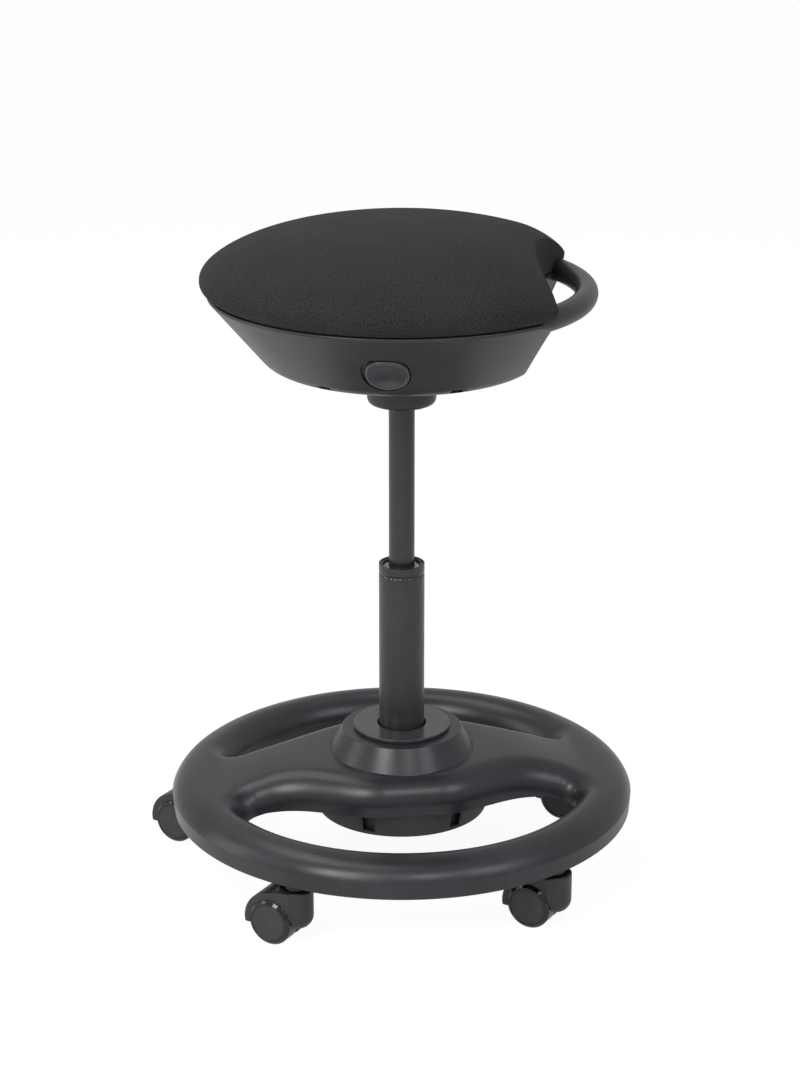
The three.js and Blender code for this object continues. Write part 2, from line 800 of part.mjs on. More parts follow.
plateScrews.forEach(({ x, y }, i) => {
  const foot = plateTop + seatGap;
  const screw = turned(
    [
      [0, foot - screwLength],
      [screwRadius, foot - screwLength],
      [screwRadius, foot],
      [screwHeadRadius, foot],
      [screwHeadRadius, foot + screwHeadHeight],
      [0, foot + screwHeadHeight],
    ],
    pinSides,
  );
  place(`plate_screw_${i + 1}`, screw.translate(x, y, 0), greySteel, seat);
});

// Seat shell
const notchDepthRadius = shellRimRadius - notchDepth;
const handleRadius = shellRimRadius - handleInset;
const cushionRadius = shellRimRadius + cushionOverhang;

// Distance from the axis to the notch's wall, at a sideways place and a height.
function notchWall(y, height) {
  const lean = notchDraft * ((rimTop - height) / shellHeight);
  return notchDepthRadius + notchRadius - Math.sqrt(notchRadius ** 2 - y ** 2) - lean;
}

// The notch's space cut back by a wall's thickness: a prism that leans as the shell's wall does,
// or an upright one where both of its ends are given the rim's outline.
function notchSpace(wall, foot, top, outlineFoot = foot, outlineTop = top) {
  const halfSpan = cushionRadius;
  const steps = 12;
  const outlineAt = (height) => {
    const curve = Array.from({ length: steps + 1 }, (_, i) => {
      const y = halfSpan - (2 * halfSpan * i) / steps;
      return new THREE.Vector2(notchWall(y, height) - wall, y);
    });
    const far = 2 * shellRimRadius;
    return [...curve, new THREE.Vector2(far, -halfSpan), new THREE.Vector2(far, halfSpan)];
  };
  const lower = raised(outlineAt(outlineFoot), () => foot);
  return solid(lofted([lower, raised(outlineAt(outlineTop), () => top)]));
}

const coneSlope = (shellRimRadius - shellFootRadius) / shellHeight;
const coneAngle = THREE.MathUtils.radToDeg(Math.atan(coneSlope));
const coneWall = shellWall * Math.hypot(1, coneSlope); // the wall's thickness, measured level
const coneAt = (height) => shellFootRadius + coneSlope * (height - shellFoot);

// The button's place on the cone, and the direction that it is pressed in
const buttonHeight = shellFoot + shellHeight * buttonHeightShare;
const buttonRadius = coneAt(buttonHeight);
const pressAngle = toRadians(coneAngle);

// Moves a body made round Z, outwards at its top, to the button's place and slope.
function toButton(geometry) {
  return geometry.rotateX(Math.PI / 2 + pressAngle).translate(0, -buttonRadius, buttonHeight);
}

// The pad's outline: flatter above and rounder below.
function buttonOutline(grow) {
  const halfWidth = buttonWidth / 2 + grow;
  const halfLength = buttonLength / 2 + grow;
  return arc([0, 0], 1, 1, 0, 360, 20)
    .slice(0, -1)
    .map(([x, y]) => {
      const power = y > 0 ? buttonUpperShare : buttonLowerShare;
      const soften = (value) => Math.sign(value) * Math.abs(value) ** power;
      return new THREE.Vector2(halfWidth * soften(x), halfLength * soften(y));
    });
}

// A prism of the pad's outline between two depths, measured outwards from the cone's face.
function buttonPrism(grow, from, to, growAtTop = grow) {
  const inner = raised(buttonOutline(grow), () => from);
  const outer = raised(buttonOutline(growAtTop), () => to);
  return solid(toButton(lofted([inner, outer])));
}

// Outline of the seat at a distance inside the rim and the notch, as a function of the angle.
function seatOutline(radius, notchInset, height, softness, sides) {
  return Array.from({ length: sides }, (_, i) => {
    const angle = -180 + (360 * i) / sides;
    const direction = polar(1, angle);
    let reach = radius;
    if (direction.x > 0) {
      let x = notchWall(0, height) - notchInset;
      for (let step = 0; step < 6; step++) {
        const y = THREE.MathUtils.clamp((x * direction.y) / direction.x, -radius, radius);
        x = notchWall(y, height) - notchInset;
      }
      const toNotch = x / direction.x;
      const blend = softness * radius;
      const mix = THREE.MathUtils.clamp(0.5 + (radius - toNotch) / (2 * blend), 0, 1);
      reach = THREE.MathUtils.lerp(radius, toNotch, mix) - blend * mix * (1 - mix);
    }
    return new THREE.Vector2(reach * direction.x, reach * direction.y);
  });
}

const boardTop = rimTop - boardRecess;
const boardFoot = boardTop - boardThickness;
const ledgeHeight = boardFoot - seatGap;
const recessRadius = coneAt(ledgeHeight) - coneWall;
const boardRadius = recessRadius - boardGap;

function seatShellGeometry() {
  const floorTop = shellFoot + shellWall;
  const round = shellFootRound;
  const holeRadius = socketRadius + seatGap;
  const body = turned(
    [
      [holeRadius, shellFoot],
      [shellFootRadius - round, shellFoot],
      [shellFootRadius - round / 4, shellFoot + round / 5],
      [coneAt(shellFoot + round), shellFoot + round],
      [shellRimRadius, rimTop - rimBand],
      [shellRimRadius - rimBand / 2, rimTop],
      [holeRadius, rimTop],
    ],
    wideSides,
  );
  const ledgeFoot = ledgeHeight - boardLedge;
  const inner = coneAt(ledgeFoot) - coneWall;
  const hollow = turned(
    [
      [0, floorTop],
      [shellFootRadius - round, floorTop],
      [coneAt(floorTop + round) - coneWall, floorTop + round],
      [inner, ledgeFoot],
      [inner - boardLedge / 2, ledgeHeight],
      [recessRadius, ledgeHeight],
      [recessRadius, rimTop + overrun],
      [0, rimTop + overrun],
    ],
    wideSides,
  );
  const notch = notchSpace(0, shellFoot - overrun, rimTop + overrun);
  const notchFace = notchSpace(shellWall, shellFoot - overrun, rimTop + 2 * overrun);

  // The handle's bar: a round hoop, kept where it closes the rim's circle across the notch
  const hoop = solid(
    turned(arc([handleRadius, rimTop], handleBar, handleBar, 0, 360, 12).slice(0, -1), wideSides * 2),
  );
  const reach = 2 * shellRimRadius;
  const wedgeOutline = [
    new THREE.Vector2(0, 0),
    new THREE.Vector2(reach * Math.cos(toRadians(handleReach)), -reach * Math.sin(toRadians(handleReach))),
    new THREE.Vector2(reach * Math.cos(toRadians(handleReach)), reach * Math.sin(toRadians(handleReach))),
  ];
  const wedgeRing = (height) => raised(wedgeOutline, () => height);
  const wedge = solid(lofted([wedgeRing(shellFoot), wedgeRing(rimTop * 2)]));
  const roomTop = rimTop + shellHeight;
  const roomInset = cushionNotchGap - handleGap;
  const roomNotch = notchSpace(roomInset, rimTop - overrun, roomTop + overrun, rimTop, rimTop);
  const cushionRoom = cut(solid(disc(cushionRadius + handleGap, rimTop, roomTop, cushionSides)), roomNotch);
  const bar = cut(hoop.intersect(wedge), cushionRoom);

  const bossTop = floorTop + plateBossHeight;
  const bosses = plateScrews.map(({ x, y }) =>
    solid(disc(plateBossRadius, floorTop - shellWall / 2, bossTop, smallSides).translate(x, y, 0)),
  );
  const pilots = plateScrews.map(({ x, y }) =>
    solid(disc(screwRadius + seatGap, floorTop, bossTop + overrun, pinSides).translate(x, y, 0)),
  );
  const guideOuter = buttonPrism(buttonGap + buttonGuideWall, -buttonDepth, -shellWall / 2);
  const guideInner = buttonPrism(buttonGap, -buttonDepth - overrun, overrun);
  const bezel = buttonPrism(buttonGap, -buttonRecess / 2, buttonRecess / 2, buttonGap + 2 * buttonRecess);
  const snapSlots = snapSlotAngles.map((angle) => {
    const slot = block(4 * round, snapSlotWidth, snapSlotHeight + overrun);
    slot.translate(coneAt(shellFoot) + round, 0, shellFoot - overrun + (snapSlotHeight + overrun) / 2);
    return solid(slot.rotateZ(toRadians(angle)));
  });

  const walls = cut(solid(body), cut(solid(hollow), notchFace), notch, ...snapSlots);
  const fitted = joined(walls, ...bosses, guideOuter, cut(bar, solid(hollow).subtract(notchFace)));
  return geometryOf(cut(fitted, guideInner, bezel, ...pilots));
}
place("seat_shell", seatShellGeometry(), shellPlastic, seat);

// Seat board under the cushion, on the shell's ledge
const boardRing = (height) => {
  const outline = seatOutline(boardRadius, shellWall + boardGap, boardFoot, cornerShare, wideSides);
  return raised(outline, () => height);
};
place("seat_board", lofted([boardRing(boardFoot), boardRing(boardTop)]), boardPly, seat);

// Cushion: drawn in at its foot, bulging over the rim, crowned on top and cut upright along the notch
function cushionGeometry() {
  const foot = rimTop + seatGap;
  const under = boardTop + seatGap;
  const [bulgeInset, bulgeFoot, widestFoot] = cushionSideShares;
  const circle = (radius) =>
    arc([0, 0], radius, radius, 0, 360, cushionSides)
      .slice(0, -1)
      .map(([x, y]) => new THREE.Vector2(x, y));
  const rings = [
    [boardRadius, under],
    [boardRadius, foot - seatGap],
    [cushionRadius - cushionFootInset, foot + seatGap],
    [cushionRadius - bulgeInset * cushionFootInset, foot + bulgeFoot * cushionBulgeHeight],
    [cushionRadius, foot + widestFoot * cushionBulgeHeight],
  ].map(([radius, height]) => raised(circle(radius), () => height));

  // The crown sinks towards the notch, where the cover is pulled over the edge
  const side = foot + cushionBulgeHeight;
  const dome = cushionCrown - cushionBulgeHeight;
  crownShares.forEach((share) => {
    const rise = dome * Math.sqrt(1 - share ** 4) * (1 - crownSlopeShare * share ** 2);
    const crown = ({ x, y }) => {
      const room = THREE.MathUtils.clamp((notchWall(y, rimTop) - x) / notchPullReach, 0, 1);
      return side + rise - Math.min(notchPull * (1 - room) ** 2, pullShare * rise);
    };
    rings.push(raised(circle(share * cushionRadius), crown));
  });
  const notch = notchSpace(cushionNotchGap, foot - seatGap, foot + cushionCrown + overrun, rimTop, rimTop);
  const spigotNotch = notchSpace(shellWall + boardGap, under - overrun, foot - seatGap, rimTop, rimTop);
  return geometryOf(cut(solid(lofted(rings)), notch, spigotNotch));
}
place("cushion", cushionGeometry(), weave, seat);

// Release button: a dished pad in its guide, with a stem that lifts the lever
const pressDirection = new THREE.Vector3(0, Math.cos(pressAngle), Math.sin(pressAngle));
const contactY = buttonStemReach * pressDirection.y - buttonRadius;
const contactHeight = buttonHeight + buttonStemReach * pressDirection.z;

function releaseButtonGeometry() {
  const pad = buttonPrism(0, -buttonDepth, 0);
  const dish = new THREE.SphereGeometry(buttonLength * 2, 24, 24);
  dish.translate(0, 0, buttonLength * 2 - buttonDish);
  const stem = disc(buttonStemRadius, -buttonStemReach, -buttonDepth / 2, smallSides);
  const nose = new THREE.SphereGeometry(buttonStemRadius, 8, 6).translate(0, 0, -buttonStemReach);
  return geometryOf(joined(cut(pad, solid(toButton(dish))), solid(toButton(stem)), solid(toButton(nose))));
}
place("release_button", releaseButtonGeometry(), shellPlastic, seat);

// Release lever: rocks on its pin, so that lifting its outer end presses the valve pin
function releaseLeverGeometry() {
  const inner = valveTop + seatGap;
  const outer = contactHeight + buttonStemRadius + seatGap;
  const shape = new THREE.Shape();
  const half = leverDepth / 2;
  shape.moveTo(valveRadius, inner);
  shape.lineTo(valveRadius, inner + leverDepth);
  shape.lineTo(-leverPivotDistance / 2, pivotHeight + leverDepth);
  shape.lineTo(-leverPivotDistance, pivotHeight + half + half);
  shape.lineTo(contactY + leverDepth, outer + leverDepth);
  shape.lineTo(contactY - leverDepth, outer + leverDepth);
  shape.lineTo(contactY - leverDepth, outer);
  shape.lineTo(contactY + leverDepth, outer);
  shape.lineTo(-leverPivotDistance - half, pivotHeight - half);
  shape.lineTo(-leverPivotDistance + half, pivotHeight - half);
  shape.lineTo(-valveRadius, inner);
  const bar = new THREE.ExtrudeGeometry(shape, { depth: leverWidth, bevelEnabled: false });
  bar.translate(0, 0, -leverWidth / 2);
  bar.rotateX(Math.PI / 2).rotateZ(Math.PI / 2);
  const hub = disc(leverHubRadius, -leverWidth / 2, leverWidth / 2, smallSides).rotateY(Math.PI / 2);
  hub.translate(0, -leverPivotDistance, pivotHeight);
  const hole = disc(leverPinRadius + seatGap, -leverWidth, leverWidth, pinSides).rotateY(Math.PI / 2);
  hole.translate(0, -leverPivotDistance, pivotHeight);
  return geometryOf(cut(joined(solid(bar), solid(hub)), solid(hole)));
}
place("release_lever", releaseLeverGeometry(), darkSteel, seat);

const pivotHalf = earOffset + earThickness / 2 + seatGap;
const pivotPin = disc(leverPinRadius, -pivotHalf, pivotHalf, pinSides).rotateY(Math.PI / 2);
place("lever_pin", pivotPin.translate(0, -leverPivotDistance, pivotHeight), greySteel, seat);

// Casters: X is the way the wheels trail, and the stem stands on the group's axis
const wheelInner = webThickness / 2 + wheelRunningGap;
const wheelOuter = wheelInner + wheelWidth;
const wellRadius = wheelRadius + hoodGap;
const hoodRadius = wellRadius + hoodWall;

// The hood: a fender over both wheels, a web between them and a round neck on the stem.
function casterHoodGeometry() {
  const neckFoot = hoodHeight - hoodNeckDrop - hoodNeckRound;
  const profile = new THREE.Shape();
  const over = arc([casterTrail, wheelRadius], hoodRadius, hoodRadius, hoodLipAngle, hoodBackAngle, 6);
  over.forEach(([x, y]) => profile.lineTo(x, y));
  profile.lineTo(0, hoodHeight - hoodTopEdge);
  profile.lineTo(0, neckFoot);
  profile.lineTo(casterTrail, wheelRadius - axleRadius * 2);
  const fender = new THREE.ExtrudeGeometry(profile, { depth: hoodWidth, bevelEnabled: false });
  fender.translate(0, 0, -hoodWidth / 2).rotateX(Math.PI / 2);
  const neckStart = hoodNeckRadius - hoodNeckRound;
  const underside = [neckStart, hoodHeight - hoodNeckDrop];
  const neck = turned(
    [
      [0, neckFoot],
      [neckStart, neckFoot],
      ...arc(underside, hoodNeckRound, hoodNeckRound, hoodUnderAngle, 0, 2),
      [hoodNeckRadius, hoodHeight - hoodTopEdge],
      [hoodNeckRadius - hoodTopEdge, hoodHeight],
      [0, hoodHeight],
    ],
    wheelSides,
  );
  const wellAt = (middle) => {
    const well = disc(wellRadius, -hoodWidth / 2, hoodWidth / 2, wheelSides).rotateX(Math.PI / 2);
    return solid(well.translate(casterTrail, middle, wheelRadius));
  };
  const wellMiddle = (webThickness + hoodWidth) / 2;
  const boreFoot = hoodHeight - stemInHood - seatGap;
  const stemBore = disc(stemRadius + seatGap, boreFoot, hoodHeight + overrun, smallSides);
  const axleBore = disc(axleRadius + seatGap, -hoodWidth, hoodWidth, pinSides).rotateX(Math.PI / 2);
  axleBore.translate(casterTrail, 0, wheelRadius);
  const body = joined(solid(fender), solid(neck));
  return geometryOf(cut(body, wellAt(wellMiddle), wellAt(-wellMiddle), solid(stemBore), solid(axleBore)));
}

// One wheel on the caster's +Y side: a flat face in a bevelled rim, bored for the axle from inside.
function wheelGeometry() {
  const boreDepth = axleLength / 2 + seatGap;
  const wheel = turned(
    [
      [axleRadius + seatGap, wheelInner],
      [wheelRadius, wheelInner],
      [wheelRadius, wheelOuter - wheelBevel],
      [wheelFaceRadius, wheelOuter],
      [wheelFaceRadius - wheelDish, wheelOuter - wheelDish],
      [0, wheelOuter - wheelDish],
      [0, boreDepth],
      [axleRadius + seatGap, boreDepth],
    ],
    wheelSides,
  );
  return wheel.rotateX(-Math.PI / 2);
}

const stemFoot = hoodHeight - stemInHood;
const stemTop = ringFoot + stemInRing;
const stemGeometry = turned(
  [
    [0, stemFoot],
    [stemRadius, stemFoot],
    [stemRadius, hoodHeight + seatGap],
    [stemCollarRadius, hoodHeight + seatGap],
    [stemCollarRadius, ringFoot - seatGap],
    [stemRadius, ringFoot - seatGap],
    [stemRadius, stemTop - stemChamfer],
    [stemRadius - stemChamfer, stemTop],
    [0, stemTop],
  ],
  smallSides,
);

casterAngles.forEach((angle, i) => {
  const number = i + 1;
  const caster = new THREE.Group();
  caster.position.copy(polar(casterCircleRadius, angle));
  stool.add(caster);
  place(`caster_stem_${number}`, stemGeometry, darkSteel, caster);
  const swivel = new THREE.Group();
  swivel.rotation.z = toRadians(casterTurn);
  caster.add(swivel);
  place(`caster_hood_${number}`, casterHoodGeometry(), shellPlastic, swivel);
  const axle = disc(axleRadius, -axleLength / 2, axleLength / 2, pinSides).rotateX(Math.PI / 2);
  place(`caster_axle_${number}`, axle.translate(casterTrail, 0, wheelRadius), greySteel, swivel);
  const left = place(`caster_wheel_left_${number}`, wheelGeometry(), wheelTread, swivel);
  left.position.set(casterTrail, 0, wheelRadius);
  const right = place(`caster_wheel_right_${number}`, wheelGeometry(), wheelTread, swivel);
  right.position.set(casterTrail, 0, wheelRadius);
  right.rotation.z = Math.PI;
});

// The origin is on the floor, under the middle of the whole stool.
stool.updateMatrixWorld(true);
const middle = new THREE.Box3().setFromObject(stool, true).getCenter(new THREE.Vector3());
stool.position.set(-middle.x, -middle.y, 0);

export default stool;
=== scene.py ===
import math
import bmesh
import bpy
import numpy as np
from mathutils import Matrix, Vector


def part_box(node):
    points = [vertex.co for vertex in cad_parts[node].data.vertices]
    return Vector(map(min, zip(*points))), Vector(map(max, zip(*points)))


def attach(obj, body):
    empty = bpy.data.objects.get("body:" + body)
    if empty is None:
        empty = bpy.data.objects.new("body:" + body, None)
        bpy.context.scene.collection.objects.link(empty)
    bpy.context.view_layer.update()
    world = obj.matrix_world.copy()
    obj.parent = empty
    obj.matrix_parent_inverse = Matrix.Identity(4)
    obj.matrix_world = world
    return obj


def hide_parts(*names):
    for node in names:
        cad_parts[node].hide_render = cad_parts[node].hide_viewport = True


# Perch stool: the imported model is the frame, and its visible pieces are worked out again here as fine surfaces.
# Piece sizes are in millimetres from the column's axis, with +Z up; the meshes are in metres in the frame's own axes.
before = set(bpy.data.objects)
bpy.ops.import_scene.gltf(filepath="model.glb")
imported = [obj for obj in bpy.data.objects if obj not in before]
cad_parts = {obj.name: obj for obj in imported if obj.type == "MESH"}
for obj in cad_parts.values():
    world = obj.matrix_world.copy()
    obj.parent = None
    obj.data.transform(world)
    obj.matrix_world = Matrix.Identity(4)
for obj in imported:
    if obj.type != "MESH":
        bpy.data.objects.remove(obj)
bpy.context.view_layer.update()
print("frame loaded:", len(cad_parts), "nodes")

mm = 0.001


def middleOf(node):
    low, high = (np.array(corner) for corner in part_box(node))
    return (low + high) / 2


columnAxis = middleOf("outer_tube") / mm
columnAxis[2] = 0
seatTurn = math.radians(-12.8)  # the handle's direction, from the bridge's


# ---- mesh helpers ----

def turnedBy(points, angle):
    # rotation about Z: x' = x cos - y sin, y' = x sin + y cos
    c, s = math.cos(angle), math.sin(angle)
    turned = np.array(points, float)
    x, y = turned[..., 0].copy(), turned[..., 1].copy()
    turned[..., 0], turned[..., 1] = x * c - y * s, x * s + y * c
    return turned


def gridFaces(levels, around, loopLevels, loopAround):
    # quads of a levels x around grid of points; a loop joins its last row to its first
    i = np.arange(levels if loopLevels else levels - 1)[:, None]
    j = np.arange(around if loopAround else around - 1)[None, :]
    i2, j2 = (i + 1) % levels, (j + 1) % around
    return np.stack([i * around + j, i * around + j2, i2 * around + j2, i2 * around + j], -1).reshape(-1, 4)


def placed(name, data):
    thing = bpy.data.objects.new(name, data)
    bpy.context.scene.collection.objects.link(thing)
    return thing


def weldedMesh(name, points, faces, weld, degenerate=True):
    # points in metres, welded within the given distance, with the faces turned outward
    mesh = bpy.data.meshes.new(name)
    mesh.from_pydata(points.tolist(), [], faces.tolist())
    work = bmesh.new()
    work.from_mesh(mesh)
    bmesh.ops.remove_doubles(work, verts=work.verts, dist=weld)
    if degenerate:
        bmesh.ops.dissolve_degenerate(work, edges=work.edges, dist=weld)
    bmesh.ops.recalc_face_normals(work, faces=work.faces)
    work.to_mesh(mesh)
    work.free()
    return mesh


def readPoints(items, key="co"):
    values = np.empty(len(items) * 3)
    items.foreach_get(key, values)
    return values.reshape(-1, 3)


def pieceFrom(name, grids, body, material, weld=0.004, smooth=True):
    # grids: (points, loopLevels, loopAround) or (points, faces); all become one mesh in the frame's place
    allPoints, allFaces, start = [], [], 0
    for grid in grids:
        points = np.asarray(grid[0], float)
        if len(grid) == 3:
            faces = gridFaces(points.shape[0], points.shape[1], grid[1], grid[2])
        else:
            faces = np.asarray(grid[1])
        points = points.reshape(-1, 3)
        allPoints.append(points)
        allFaces.append(faces + start)
        start += len(points)
    mesh = weldedMesh(name, (np.concatenate(allPoints) + columnAxis) * mm, np.concatenate(allFaces), weld * mm)
    mesh.polygons.foreach_set("use_smooth", np.full(len(mesh.polygons), smooth))
    mesh.update()
    mesh.materials.append(material)
    piece = placed(name, mesh)
    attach(piece, body)
    return piece


def softened(corners, steps=5, loop=True, hold=0.35):
    # a polyline whose corners are parabolas through P + u t (1-s)^2 + v t s^2, with a held point beyond each end
    corners = [tuple(corner) + (0,) * (3 - len(corner)) for corner in corners]
    count = len(corners)
    path = []
    for i, (x, y, rounding) in enumerate(corners):
        here = np.array([x, y], float)
        if not loop and i in (0, count - 1) or rounding <= 0:
            path.append(here[None])
            continue
        before = np.array(corners[i - 1][:2], float) - here
        after = np.array(corners[(i + 1) % count][:2], float) - here
        lengthBefore, lengthAfter = np.linalg.norm(before), np.linalg.norm(after)
        u, v = before / lengthBefore, after / lengthAfter
        half = math.acos(np.clip(u @ v, -1, 1)) / 2
        reach = min(rounding / max(math.tan(half), 1e-3), 0.48 * lengthBefore, 0.48 * lengthAfter)
        s = np.linspace(0, 1, steps + 1)[:, None]
        bend = here + u * reach * (1 - s) ** 2 + v * reach * s ** 2
        held = min(hold * reach, 0.4 * (0.5 * min(lengthBefore, lengthAfter) - reach) + 1e-3)
        first, last = here + u * (reach + max(held, 0.01)), here + v * (reach + max(held, 0.01))
        path += [first[None], bend, last[None]]
    return np.concatenate(path)


def turnedGrid(profile, sides, start=0.0):
    # surface of revolution: (radius cos a, radius sin a, height)
    angles = start + np.arange(sides) * 2 * math.pi / sides
    radius, height = profile[:, 0][:, None], profile[:, 1][:, None]
    return np.stack([radius * np.cos(angles), radius * np.sin(angles), height + 0 * angles], -1)


def addModifier(piece, kind, settings):
    modifier = piece.modifiers.new(kind.title(), kind)
    for key, value in settings.items():
        setattr(modifier, key, value)


def applyModifiers(piece):
    graph = bpy.context.evaluated_depsgraph_get()
    mesh = bpy.data.meshes.new_from_object(piece.evaluated_get(graph))
    piece.modifiers.clear()
    piece.data = mesh
    return piece


# ---- materials ----

def linear(hexColour):
    # sRGB hex to linear: c / 12.92 below 0.04045, otherwise ((c + 0.055) / 1.055) ^ 2.4
    parts = [int(hexColour[i:i + 2], 16) / 255 for i in (1, 3, 5)]
    return tuple(c / 12.92 if c <= 0.04045 else ((c + 0.055) / 1.055) ** 2.4 for c in parts) + (1.0,)


def addNode(tree, kind, settings=None, inputs=None):
    # one node with its settings, and values or links on its inputs
    node = tree.nodes.new(kind)
    for key, value in (settings or {}).items():
        setattr(node, key, value)
    for key, value in (inputs or {}).items():
        if isinstance(value, bpy.types.NodeSocket):
            tree.links.new(value, node.inputs[key])
        else:
            node.inputs[key].default_value = value
    return node


def newMaterial(name):
    material = bpy.data.materials.new(name)
    material.use_nodes = True
    tree = material.node_tree
    tree.nodes.clear()
    output = addNode(tree, "ShaderNodeOutputMaterial")
    return material, tree, output


def surfaceMaterial(name, look):
    # A solid finish: colour drifts between two close tones, the gloss is uneven as on a handled piece,
    # and a fine grain is raised on it. Sizes are real millimetres on Object coordinates.
    material, tree, output = newMaterial(name)
    place = addNode(tree, "ShaderNodeTexCoord").outputs["Object"]
    if look.get("stretch"):
        place = addNode(tree, "ShaderNodeMapping", None, {"Vector": place, "Scale": look["stretch"]}).outputs["Vector"]
    drift = addNode(tree, "ShaderNodeTexNoise", None,
                    {"Vector": place, "Scale": 1000 / look["driftMm"], "Detail": 3.0, "Roughness": 0.6})
    grain = addNode(tree, "ShaderNodeTexNoise", None,
                    {"Vector": place, "Scale": 1000 / look["grainMm"], "Detail": 2.0, "Roughness": 0.5})
    tone = addNode(tree, "ShaderNodeMapRange", None,
                   {"Value": drift.outputs["Fac"], "From Min": 0.35, "From Max": 0.65})
    speck = addNode(tree, "ShaderNodeMapRange", None,
                    {"Value": grain.outputs["Fac"], "From Min": 0.3, "From Max": 0.7,
                     "To Min": -look["speck"], "To Max": look["speck"]})
    blend = addNode(tree, "ShaderNodeMath", {"operation": "ADD", "use_clamp": True},
                    {0: tone.outputs["Result"], 1: speck.outputs["Result"]})
    colour = addNode(tree, "ShaderNodeMix", {"data_type": "RGBA"},
                     {"Factor": blend.outputs[0], 6: linear(look["dark"]), 7: linear(look["light"])})
    worn = addNode(tree, "ShaderNodeMapRange", None,
                   {"Value": drift.outputs["Fac"], "From Min": 0.3, "From Max": 0.7,
                    "To Min": look["rough"] - look["roughDrift"], "To Max": look["rough"] + look["roughDrift"]})
    bump = addNode(tree, "ShaderNodeBump", None,
                   {"Height": grain.outputs["Fac"], "Strength": look["bump"], "Distance": look["depthMm"] * mm})
    shader = addNode(tree, "ShaderNodeBsdfPrincipled", None,
                     {"Base Color": colour.outputs[2], "Roughness": worn.outputs["Result"],
                      "Metallic": look.get("metal", 0.0), "IOR": look.get("ior", 1.5),
                      "Specular IOR Level": look.get("specular", 0.5),
                      "Normal": bump.outputs["Normal"]})
    tree.links.new(shader.outputs["BSDF"], output.inputs["Surface"])
    return material


# Polypropylene, injection moulded in an eroded mould: an even satin black with a fine matt grain
mouldedRing = surfaceMaterial("moulded_polypropylene_ring", dict(
    dark="#26262a", light="#2e2e32", driftMm=60, grainMm=1.6, speck=0.35, rough=0.32, roughDrift=0.04,
    bump=0.2, depthMm=0.3, ior=1.49, specular=0.42))
# The same plastic on the seat's shell, a little smoother
mouldedShell = surfaceMaterial("moulded_polypropylene_shell", dict(
    dark="#242426", light="#2c2c2e", driftMm=70, grainMm=1.4, speck=0.3, rough=0.38, roughDrift=0.04,
    bump=0.14, depthMm=0.22, ior=1.49, specular=0.46))
# The same plastic, a shade lighter and worn by the thumb
mouldedButton = surfaceMaterial("moulded_polypropylene_button", dict(
    dark="#333337", light="#3b3b3f", driftMm=30, grainMm=1.2, speck=0.3, rough=0.34, roughDrift=0.04,
    bump=0.1, depthMm=0.15, ior=1.49))
# Nylon, moulded matt: the drum under the hub
mouldedDrum = surfaceMaterial("moulded_nylon_drum", dict(
    dark="#222224", light="#2c2c2e", driftMm=40, grainMm=1.2, speck=0.3, rough=0.5, roughDrift=0.05,
    bump=0.15, depthMm=0.2, ior=1.53))
# ABS from a polished mould: bright reflections with faint handling marks
polishedDisc = surfaceMaterial("polished_abs_disc", dict(
    dark="#363638", light="#404042", driftMm=30, grainMm=3.0, speck=0.2, rough=0.17, roughDrift=0.04,
    bump=0.02, depthMm=0.1, ior=1.54))
# Powder coat baked on steel tube: a satin skin with a slight orange peel
powderCoat = surfaceMaterial("powder_coated_tube", dict(
    dark="#222221", light="#2b2b2a", driftMm=45, grainMm=1.8, speck=0.25, rough=0.3, roughDrift=0.04,
    bump=0.07, depthMm=0.2, ior=1.5))
# Nylon, moulded: small bush, gland and notched ring
mouldedNylon = surfaceMaterial("moulded_black_nylon", dict(
    dark="#131314", light="#1d1d1e", driftMm=12, grainMm=0.9, speck=0.3, rough=0.4, roughDrift=0.06,
    bump=0.12, depthMm=0.12, ior=1.53))
# Polyurethane tread, cast in a polished mould: deep black with sharp lights; the black is its own colour, set darker
# still as painted shade for the hood's well round the wheel
polishedTread = surfaceMaterial("cast_polyurethane_tread", dict(
    dark="#0b0b0c", light="#131315", driftMm=14, grainMm=2.2, speck=0.2, rough=0.12, roughDrift=0.05,
    bump=0.03, depthMm=0.1, ior=1.5))
# Nylon wheel face, moulded matt
mouldedWheel = surfaceMaterial("moulded_nylon_wheel", dict(
    dark="#242425", light="#2e2e2f", driftMm=16, grainMm=0.9, speck=0.35, rough=0.48, roughDrift=0.05,
    bump=0.12, depthMm=0.12, ior=1.53))
# Steel, zinc plated: pale grey with a brushed drift
platedSteel = surfaceMaterial("zinc_plated_steel", dict(
    dark="#8b8d90", light="#a9abad", driftMm=8, grainMm=0.7, speck=0.25, rough=0.32, roughDrift=0.08,
    bump=0.08, depthMm=0.05, metal=1.0))
# Steel, phosphated: dark grey, dull and slightly mottled
phosphatedSteel = surfaceMaterial("phosphated_steel", dict(
    dark="#3a3b3d", light="#55575a", driftMm=10, grainMm=0.8, speck=0.4, rough=0.5, roughDrift=0.08,
    bump=0.12, depthMm=0.06, metal=1.0))
# Rubber, moulded: dull, with a bloom
mouldedRubber = surfaceMaterial("moulded_rubber", dict(
    dark="#141414", light="#242424", driftMm=9, grainMm=0.7, speck=0.3, rough=0.8, roughDrift=0.08,
    bump=0.2, depthMm=0.1, ior=1.52))
# Birch plywood, sanded: long grain along the board
sandedPly = surfaceMaterial("sanded_birch_ply", dict(
    dark="#8a6a45", light="#b8966a", driftMm=26, grainMm=1.6, speck=0.5, rough=0.7, roughDrift=0.08,
    bump=0.2, depthMm=0.15, ior=1.5, stretch=(1.0, 7.0, 7.0)))


